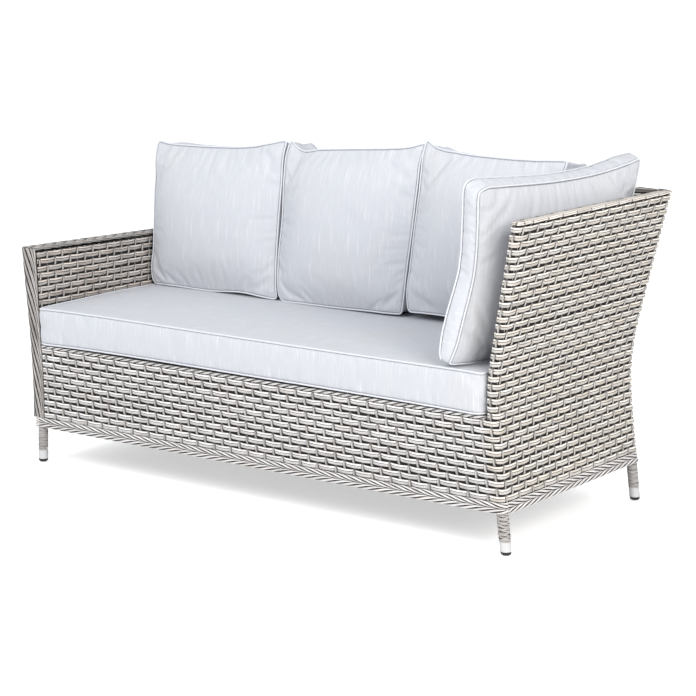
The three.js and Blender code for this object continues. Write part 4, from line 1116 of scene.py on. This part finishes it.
# %% [markdown]
# ## The sizes of the five cushions
# The three back cushions and the side cushion lean on the walls, and the seat cushion lies on the
# deck. The offsets follow the photograph: the first back cushion's outer corner droops, the inner
# ears stand up where two cushions squeeze each other, the side cushion's rear ear reaches up, and
# its lower front corner is pinched flat.
# The front and rear panel each have four edges, left, right, bottom and top, with seven offsets.
# Each corner has a radius and how far it is pinched. The room is what the neighbours leave beside
# the seams, in the same order as the edges. The seat cushion's front is raised a little by its
# filling, and its left end by the arm that it stands against.

# %% Write down each cushion's place, size and edges
BACK_LEAN_BACK, SIDE_LEAN_BACK, SIDE_TURN = math.radians(8), math.radians(8.5), math.radians(6.2)


def stand(centre, turn, lean_back):
    """A cushion's middle and its axes: across, up its face and out of its face."""
    across = np.array([math.cos(turn), math.sin(turn), 0])
    face = np.array([across[1], -across[0], 0])
    up = np.array([0, 0, math.cos(lean_back)]) - face * math.sin(lean_back)
    return np.array(centre), across, up, np.cross(across, up)


# seam: how strongly painted shade is laid along the cushion's seams
BACK_SIZES = dict(seam=.75, width=464.7, height=456, band=114, front_crown=46, rear_crown=72,
                  band_swell=-5, step=7.5,
                  corners={(-1, -1): (20, 10), (1, -1): (10, 8), (1, 1): (8, 10), (-1, 1): (8, 10)})
BACK_ROW_Y, BACK_ROW_Z = 179.99, 700.35
SEAT_EDGES = ((0, -2, -3, -3, -3, -2, 0), (0, 2, 3, 3, 3, 2, 0), (0, -2, -3, -3, -3, -2, 0))
cushions = {
    "back_cushion_left": dict(
        BACK_SIZES, axes=stand((-542.34, BACK_ROW_Y, BACK_ROW_Z), 0, BACK_LEAN_BACK), room=(8, 3, 3, 4),
        front=((6, 2, 4, -4, -10, -15, -18), (22, 18, 14, 11, 11, 9, 12),
               (-14, -10, -10, -11, -3, -8, -12), (-34, -40, -41, -38, -29, -14, -1)),
        rear=((6, 6, 8, 0, -8, -12, -14), (18, 14, 10, 8, 8, 8, 10), STRAIGHT,
              (-34, -33, -30, -30, -28, -22, -14))),
    "back_cushion_middle": dict(
        BACK_SIZES, axes=stand((-64.41, BACK_ROW_Y, BACK_ROW_Z), 0, BACK_LEAN_BACK), room=(3, 3, 3, 4),
        front=((18, 14, 10, 13, 7, 8, 14), (-8, -2, 1, 8, 13, 16, 25),
               (-14, -13, -12, -11, -8, -7, -6), (5, -26, -20, -11, -2, 7, 23)),
        rear=((18, 14, 10, 12, 8, 8, 12), (-6, -2, 0, 6, 12, 14, 18), STRAIGHT,
              (2, -30, -30, -24, -16, -8, 2))),
    "back_cushion_right": dict(
        BACK_SIZES, axes=stand((413.54, BACK_ROW_Y, BACK_ROW_Z), 0, BACK_LEAN_BACK), room=(3, 3, 3, 4),
        corners={(-1, -1): (8, 6), (1, -1): (10, 8), (1, 1): (8, 10), (-1, 1): (8, 10)},
        front=((3, -3, 0, 4, 10, 11, 12), (0, -2, -8, -10, -8, 0, 8),
               (4, 6, 7, 4, 0, 0, 0), (33, 11, 2, -3, -3, 0, 4)),
        rear=((4, 0, 2, 6, 10, 11, 12), (0, -2, -8, -10, -6, 2, 12), STRAIGHT,
              (20, 2, -10, -14, -12, -6, 2))),
    "side_cushion": dict(
        axes=stand((709.81, -49.49, 692.66), -math.pi / 2 - SIDE_TURN, SIDE_LEAN_BACK), room=(6, 8, 3, 8),
        width=645, height=456, band=50, front_crown=28, rear_crown=30, band_swell=2, step=7.5,
        corners={(-1, -1): (20, 0), (1, -1): (16, 14), (1, 1): (50, 0), (-1, 1): (12, 6)},
        front=((0, 0, 6, 8, -8, -25, -40), (32, 24, 12, -14, -4, 7, 19), (0, 0, 0, 0, 3, 8, 13),
               (34, 27, 11, 5, 13, 20, 26)),
        rear=((0, 0, 6, 8, -4, -14, -24), (28, 20, 8, -12, -4, 8, 22), (0, 0, 0, 0, 2, 5, 8),
              (28, 18, 6, 0, 5, 10, 14))),
    "seat_cushion": dict(
        axes=stand((-11.15, -60.85, 408.1), 0, math.pi / 2), room=(3, 3, 6, 3),
        width=1523.1, height=660.1, band=105, front_crown=4, rear_crown=0, band_swell=2, step=11, travel=9,
        corners={(-1, -1): (8, 3), (1, -1): (26, 4), (1, 1): (20, 0), (-1, 1): (20, 0)},
        rear_corners={(-1, -1): (10, 0), (1, -1): (26, 0), (1, 1): (20, 0), (-1, 1): (20, 0)},
        left_lift=7.5, lift=(2, 4, 4, 3, 3, 4, 5), rear_lift=(2, 6, 8, 7, 6, 4, 1), seam=.6,
        front=((-9, -2, 3, 3, 3, 2, 0), *SEAT_EDGES), rear=((-4, -1, 2, 3, 3, 2, 0), *SEAT_EDGES)),
}
for name, cushion in cushions.items():
    print(name, "stands at", cushion["axes"][0], "and is", cushion["width"], "by", cushion["height"], "mm")

# %% [markdown]
# ## Filling the cushions
# Blowing a cover up as cloth is what gives soft faces, puckers along the seams and slack corners.
# The seams are pinned, and the cloth is made a little too large, because a sewn cover always has
# some ease. No point may travel further than a set distance. Where a cushion leans on a wall, a
# neighbour or the seat, it is pressed flat afterwards, because real cushions share that space.

# %% Blow up a cover
PRESSURE, FRAMES, TRAVEL = 4.0, 20, 24.0      # TRAVEL is as far as a point may move, in mm
EASE, TINY = 0.03, 1e-6          # how much too large the cloth is, and what counts as nothing


def coordinates(mesh):
    points = np.zeros(len(mesh.vertices) * 3)
    mesh.vertices.foreach_get("co", points)
    return points.reshape(-1, 3) / MM


def blow_up(cover, ease, travel):
    """Runs the cover as cloth with air inside; returns where its points end, in mm."""
    before = coordinates(cover.data)
    filling = cover.modifiers.new("filling", "CLOTH")
    settings = filling.settings
    settings.use_pressure, settings.uniform_pressure_force = True, PRESSURE
    settings.effector_weights.gravity = 0
    settings.vertex_group_mass = "seams"
    settings.shrink_min = -ease
    filling.collision_settings.use_collision = False
    filling.point_cache.frame_end = FRAMES
    for number in range(1, FRAMES + 1):
        bpy.context.scene.frame_set(number)
    after = coordinates(cover.evaluated_get(bpy.context.evaluated_depsgraph_get()).data)
    cover.modifiers.remove(filling)
    bpy.context.scene.frame_set(1)
    moved = after - before
    length = np.linalg.norm(moved, axis=1)[:, None]
    return before + moved * np.tanh(length / travel) * travel / np.maximum(length, TINY)


print("a cover is blown up for", FRAMES, "frames")

# %% [markdown]
# A point that would pass into a wall or a neighbour isn't simply cut off at its face, because that
# leaves a hard edge on the cushion. It slows down over the last few millimetres, so the cushion
# flattens where it touches, with a soft rim round the flat place.

# %% Press a cushion against what it stands on and leans on
SOFTNESS = 4.0                   # over how many millimetres a point slows down
SEAT_SWELL = 8                   # how far the seat cushion's top stands up in the middle
WALL_ROOM, SEAT_ROOM, DECK_ROOM = 2, .5, .6      # how far a cushion stays from what it touches
ABOVE_WALLS = 8                  # the walls still hold a cushion back this far above their top


def press(value, limit):
    """Holds values below a limit, and slows them down softly just before it."""
    over = np.maximum(value - (limit - SOFTNESS), 0)
    return np.minimum(value, limit - SOFTNESS) + SOFTNESS * (1 - np.exp(-over / SOFTNESS))


def press_sides(cushion, own):
    """Keeps a cushion's points inside the room that its neighbours leave beside its seams."""
    left, right, bottom, top = cushion["front"]
    spare_left, spare_right, spare_bottom, spare_top = cushion["room"]
    half_width, half_height = cushion["width"] / 2, cushion["height"] / 2
    x, y, z = own.T
    u, v = np.clip(x / half_width, -1, 1), np.clip(y / half_height, -1, 1)
    x = press(x, half_width + edge(right, v) + spare_right)
    x = -press(-x, half_width - edge(left, v) + spare_left)
    y = press(y, half_height + edge(top, u) + spare_top)
    y = -press(-y, half_height - edge(bottom, u) + spare_bottom)
    return np.stack([x, y, z], -1)


def seat_surface(x, y):
    """Height of the seat cushion's top."""
    seat = cushions["seat_cushion"]
    u = np.clip((x - seat["axes"][0][0]) / (seat["width"] / 2), -1, 1)
    v = np.clip((y - seat["axes"][0][1]) / (seat["height"] / 2), -1, 1)
    top = seat["axes"][0][2] + seat["band"] / 2 + SEAT_SWELL * crown(seat, u, v)
    return top + edge(seat["lift"], u) * ((1 - v) / 2)**LIFT_FALL + left_swell(seat, u, v)


def press_on_sofa(points, on_seat):
    """Keeps a cushion in front of the walls, and on the seat or on the deck."""
    x, y, z = points.T
    low = np.minimum(z, BACK_TOP)
    y = np.where(z < BACK_TOP + ABOVE_WALLS, press(y, y_back(low) - WALL_HALF - WALL_ROOM), y)
    x = np.where(z < BACK_TOP + ABOVE_WALLS, press(x, x_end(low) - WALL_HALF - WALL_ROOM), x)
    if on_seat:
        z = -press(-z, -(seat_surface(x, y) + SEAT_ROOM))
    else:
        z = press(-press(-z, -(DECK_TOP + DECK_ROOM)), seat_surface(x, y))
    return np.stack([x, y, z], -1)


seat_middle = cushions["seat_cushion"]["axes"][0]
print("seat surface in the middle:", round(float(seat_surface(seat_middle[0], seat_middle[1])), 1), "mm")

# %% [markdown]
# ## The cloth
# The covers are a pale cool blue-grey outdoor cloth with slubs: thicker stretches of yarn that
# show as fine upright streaks, lighter than the rest. The cloth has no shine, only a faint sheen.
# A band of painted shade lies along each seam, where the cloth turns in to the stitches. The piping is the
# same cloth, painted lighter: a painted highlight for the light that it catches, pulled tight over its cord.

# %% Make the cloth's finish
CLOTH_PALE, CLOTH_MIDDLE, CLOTH_SHADE = (0.66, 0.67, 0.70), (0.56, 0.576, 0.614), (0.51, 0.526, 0.57)
CLOTH_WARM = (1.0, 0.985, 0.955, 1)      # the tint of the slow, barely seen patches
# how finely each pattern changes along and across the cloth, per metre
YARNS, SLUBS, PATCHES, WEAVE_GRAIN = (900, 45), (330, 11), (5, 2.5), (1300, 1300)
# SEAM_SHADE: the tone of the painted shade along the seams
SEAM_SHADE = 0.1                 # how much light the seams give back
# painted highlight: the piping's copy of the cloth is painted lighter by this much
PIPING_HIGHLIGHT = 1.2                # how much lighter the piping is than the panels
CLOTH_ROUGH, CLOTH_SHEEN, CLOTH_SHINE = 0.92, 0.08, 0.2


def cloth_finish(name, lift=1.0):
    tones = (CLOTH_PALE, CLOTH_MIDDLE, CLOTH_SHADE)
    # lift above 1 paints a lighter copy of the cloth, as a painted highlight
    pale, middle, dark = [tuple(lift * c for c in color) for color in tones]
    finish, tree, shader = new_finish(name, CLOTH_ROUGH)
    yarns = noise(tree, stretched(tree, *YARNS), 1.0, 2.0, 0.6)
    ground = ramp(tree, yarns, (0.25, dark), (0.75, middle))
    slubs = noise(tree, stretched(tree, *SLUBS), 1.0, 2.0, 0.55)
    slubbed = ramp(tree, slubs, (0.56, BLACK_TONE), (0.74, WHITE_TONE))
    color = mix(tree, "MIX", slubbed, ground, (*pale, 1))
    patches = noise(tree, stretched(tree, *PATCHES), 1.0, 2.0, 0.5)
    patched = ramp(tree, patches, (0.5, BLACK_TONE), (0.8, WHITE_TONE))
    warmed = mix(tree, "MULTIPLY", patched, color, CLOTH_WARM)
    # painted shade along the seams, read from their marks
    seams = node(tree, "ShaderNodeAttribute", attribute_name="painted_shade")
    shade = ramp(tree, seams.outputs["Fac"], (0.2, WHITE_TONE), (0.85, (SEAM_SHADE,) * 3))
    tree.links.new(mix(tree, "MULTIPLY", 1.0, warmed, shade), shader.inputs["Base Color"])
    threads = noise(tree, stretched(tree, *WEAVE_GRAIN), 1.0, 1.0, 0.5)
    lines = bump(tree, threads, 0.35, 0.0004)
    tree.links.new(bump(tree, slubs, 0.25, 0.0006, lines), shader.inputs["Normal"])
    shader.inputs["Sheen Weight"].default_value = CLOTH_SHEEN
    shader.inputs["Specular IOR Level"].default_value = CLOTH_SHINE
    return finish


cushion_cloth = cloth_finish("cushion_cloth")
# a lighter copy of the cloth for the piping: painted highlight
highlit_piping_cloth = cloth_finish("highlit_piping_cloth", PIPING_HIGHLIGHT)
print("finishes:", ", ".join(finishes))

# %% [markdown]
# ## Sewing the cushions
# The grid becomes a mesh in the cushion's place. The places on the cloth are kept for the finish:
# across and up on the panels, and round and through on the band, so that the slubs stand upright
# everywhere. After the filling comes one subdivision, which rounds the small squares.

# %% Make a cover and fill it
BAND_APART = 3000                # the band is cut this far from the panels on the cloth, in mm


def cloth_places(cushion, own, faces):
    """Where each face's corners lie on the cloth, in metres."""
    corners = own[faces]
    flat = corners[:, :, :2]
    sizes = np.ptp(corners, axis=1)
    on_band = (np.abs(corners[:, :, 2]).max(1) <= cushion["band"] / 2 + TINY) & (sizes[:, 2] > 1)
    out_across = np.abs(corners[:, :, 0]).mean(1) / cushion["width"]
    out_up = np.abs(corners[:, :, 1]).mean(1) / cushion["height"]
    round_it = np.where((out_across > out_up)[:, None], corners[:, :, 1], corners[:, :, 0])
    band = np.stack([round_it + BAND_APART, corners[:, :, 2]], -1)
    return np.where(on_band[:, None, None], band, flat).reshape(-1, 2) * MM


def seam_shade(mesh, own, seams, deep):
    """Marks the points of each seam for the painted shade along it; deep is how strongly."""
    marks = np.zeros(len(own))
    for seam in seams:
        marks[seam] = deep
    layer = mesh.attributes.new("painted_shade", "FLOAT", "POINT")
    layer.data.foreach_set("value", marks.astype(np.float32))


def sew_cover(name, cushion):
    own, faces, seams = cover_points(cushion)
    centre, across, up, out = cushion["axes"]
    turn = np.stack([across, up, out])
    name = name + "_cover"
    mesh = bpy.data.meshes.new(name)
    mesh.from_pydata(((centre + own @ turn) * MM).tolist(), [], faces.tolist())
    mesh.uv_layers.new(name="strand").data.foreach_set("uv", cloth_places(cushion, own, faces).ravel())
    seam_shade(mesh, own, seams, cushion.get("seam", 1))
    cover = bpy.data.objects.new(name, mesh)
    bpy.context.collection.objects.link(cover)
    cover.vertex_groups.new(name="seams").add(np.concatenate(seams).tolist(), 1.0, "REPLACE")
    filled = blow_up(cover, EASE, cushion.get("travel", TRAVEL))
    filled = centre + press_sides(cushion, (filled - centre) @ turn.T) @ turn
    filled = press_on_sofa(filled, name != "seat_cushion_cover")
    mesh.vertices.foreach_set("co", (filled * MM).ravel())
    cover.vertex_groups.clear()
    return cover, seams


def subdivide_once(cover):
    smoother = cover.modifiers.new("smooth", "SUBSURF")
    smoother.levels = 1
    finer = bpy.data.meshes.new_from_object(cover.evaluated_get(bpy.context.evaluated_depsgraph_get()))
    cover.modifiers.remove(smoother)
    old, cover.data = cover.data, finer
    bpy.data.meshes.remove(old)
    finer.name = cover.name
    finer.shade_smooth()


print("the seat cushion's seams are at", cushions["seat_cushion"]["band"] / 2, "mm from its middle")

# %% [markdown]
# The piping is a cord in a strip of the cloth, sewn into both seams. A curve with a bevel could
# follow a seam, but here the cord has to keep its place on the outside of a soft edge. So each of
# its rings is turned with the cover's own surface, and sits just outside the stitches.

# %% Cord the seams of all five cushions
CORD_RADIUS, CORD_SIDES, CORD_STEPS, CORD_OUT = 2.4, 8, 3, 0.85
CORD_APART = 5                   # the cord's cloth is read this much further on, in metres


def cord_round(points, outwards, seed):
    """A cord that follows a closed seam; its ends meet. The seam is made a little smoother first."""
    for values in (points, outwards):
        values[:] = (np.roll(values, 1, 0) + 2 * values + np.roll(values, -1, 0)) / 4
    number = len(points)
    at = np.arange(number * CORD_STEPS + 1) / CORD_STEPS
    i = at.astype(int) % number
    t = (at % 1)[:, None]
    smooth_share = t * t * (3 - 2 * t)
    slope = (np.roll(points, -1, 0) - np.roll(points, 1, 0)) / 2
    j = (i + 1) % number
    line = (points[i] * (1 - smooth_share) + points[j] * smooth_share
            + slope[i] * t * (1 - t)**2 - slope[j] * t * t * (1 - t))
    normal = outwards[i] * (1 - t) + outwards[j] * t
    along = np.roll(line[:-1], -1, 0) - np.roll(line[:-1], 1, 0)
    along = np.concatenate([along, along[:1]])
    along /= np.linalg.norm(along, axis=1)[:, None]
    normal -= along * (normal * along).sum(1)[:, None]
    normal /= np.linalg.norm(normal, axis=1)[:, None]
    beside_it = np.cross(along, normal)
    angle = 2 * math.pi * np.arange(CORD_SIDES) / CORD_SIDES
    cos, sin = np.cos(angle)[None, :, None], np.sin(angle)[None, :, None]
    ring = normal[:, None] * cos + beside_it[:, None] * sin
    tube = line[:, None] + normal[:, None] * CORD_RADIUS * CORD_OUT + ring * CORD_RADIUS
    run = np.concatenate([[0], np.cumsum(np.linalg.norm(np.diff(line, axis=0), axis=1))])
    return tube, run * MM + seed, angle * CORD_RADIUS * MM + seed


def cord_seams(name, cover, seams):
    points = coordinates(cover.data)
    normals = np.zeros(len(points) * 3)
    cover.data.vertices.foreach_get("normal", normals)
    normals = normals.reshape(-1, 3)
    cords = [cord_round(points[seam], normals[seam], CORD_APART + i) for i, seam in enumerate(seams)]
    lengths = [round(float(np.ptp(along)), 2) for _, along, _ in cords]
    print(name, len(cover.data.polygons), "faces, box", np.ptp(points, axis=0).round(0), "mm")
    print(name, "piping:", lengths, "m")
    return swept_object(name + "_cord", cords)


for name, cushion in cushions.items():
    cover, seams = sew_cover(name, cushion)
    subdivide_once(cover)
    cover.data.materials.append(cushion_cloth)
    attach(cover, name)
    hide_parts(name)
    cord = cord_seams(name, cover, seams)
    cord.data.materials.append(highlit_piping_cloth)
    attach(cord, name)

# %% [markdown]
# ## The studio
# A pale floor, a bright even surround and two soft lamps. The surround is white to the camera
# and to reflections, but lights the sofa at a lower level, so that colours render as written.

# %% Set up the surround
WHITE, AMBIENT = 1.0, 0.81       # how bright the surround looks, and how bright it lights
AMBIENT_TONE = (0.96, 0.98, 1.0, 1)
world = bpy.data.worlds.new("studio")
bpy.context.scene.world = world
world.use_nodes = True
tree = world.node_tree
tree.nodes.clear()
seen = tree.nodes.new("ShaderNodeLightPath")
either = node(tree, "ShaderNodeMath", operation="MAXIMUM")
tree.links.new(seen.outputs["Is Camera Ray"], either.inputs[0])
tree.links.new(seen.outputs["Is Glossy Ray"], either.inputs[1])
dim, bright = tree.nodes.new("ShaderNodeBackground"), tree.nodes.new("ShaderNodeBackground")
dim.inputs["Color"].default_value = AMBIENT_TONE
dim.inputs["Strength"].default_value = AMBIENT
bright.inputs["Color"].default_value = (1, 1, 1, 1)
bright.inputs["Strength"].default_value = WHITE
blend = tree.nodes.new("ShaderNodeMixShader")
surround = tree.nodes.new("ShaderNodeOutputWorld")
tree.links.new(either.outputs[0], blend.inputs[0])
tree.links.new(dim.outputs[0], blend.inputs[1])
tree.links.new(bright.outputs[0], blend.inputs[2])
tree.links.new(blend.outputs[0], surround.inputs["Surface"])
print("surround:", WHITE, "to the camera,", AMBIENT, "as light")

# %% [markdown]
# The floor is a very large white plane, so that no edge or horizon shows. It glows a little, but
# only to the camera: it looks as white as the surround, keeps its soft shadow, and throws no more
# light on the sofa than white paper would.

# %% Lay the floor
FLOOR_SIZE, FLOOR_DROP, GLOW = 400, -0.001, 0.52
bpy.ops.mesh.primitive_plane_add(size=FLOOR_SIZE, location=(0, 0, FLOOR_DROP))
floor = bpy.context.object
floor.name = "studio_floor"
floor_finish, tree, shader = new_finish("floor_white", 0.9, (0.9, 0.9, 0.9))
path = tree.nodes.new("ShaderNodeLightPath")
glow = node(tree, "ShaderNodeEmission", Strength=GLOW)
total = tree.nodes.new("ShaderNodeAddShader")
choose = tree.nodes.new("ShaderNodeMixShader")
output = tree.nodes["Material Output"]
tree.links.new(shader.outputs[0], total.inputs[0])
tree.links.new(glow.outputs[0], total.inputs[1])
tree.links.new(path.outputs["Is Camera Ray"], choose.inputs[0])
tree.links.new(shader.outputs[0], choose.inputs[1])
tree.links.new(total.outputs[0], choose.inputs[2])
tree.links.new(choose.outputs[0], output.inputs["Surface"])
floor.data.materials.append(floor_finish)
print("floor:", FLOOR_SIZE, "m wide")

# %% [markdown]
# The key lamp stands in front, high and a little to the left, and makes the seat and the skirt
# bright. The side lamp stands at the right and is slightly warmer, so the high end comes forward.
# Both are large, which keeps the shadows between the strips soft.

# %% Hang the lamps


def lamp(name, place_at, target, size, power, color=(1, 1, 1)):
    data = bpy.data.lights.new(name, "AREA")
    data.color = color
    data.shape, data.size, data.size_y, data.energy = "RECTANGLE", size[0], size[1], power
    made = bpy.data.objects.new(name, data)
    bpy.context.collection.objects.link(made)
    made.location = place_at
    made.rotation_euler = (Vector(target) - Vector(place_at)).to_track_quat("-Z", "Y").to_euler()


# each lamp: where it stands, what it points at, its two sides in metres, and its power in watts
lamp("key", (-0.9, -3.6, 3.5), (0, 0, 0.4), (2.2, 2.2), 88)
lamp("side", (3.9, -2.2, 2.2), (0.4, 0, 0.4), (2.0, 2.0), 126, (1.0, 0.965, 0.92))
bpy.context.scene.view_settings.view_transform = "Standard"
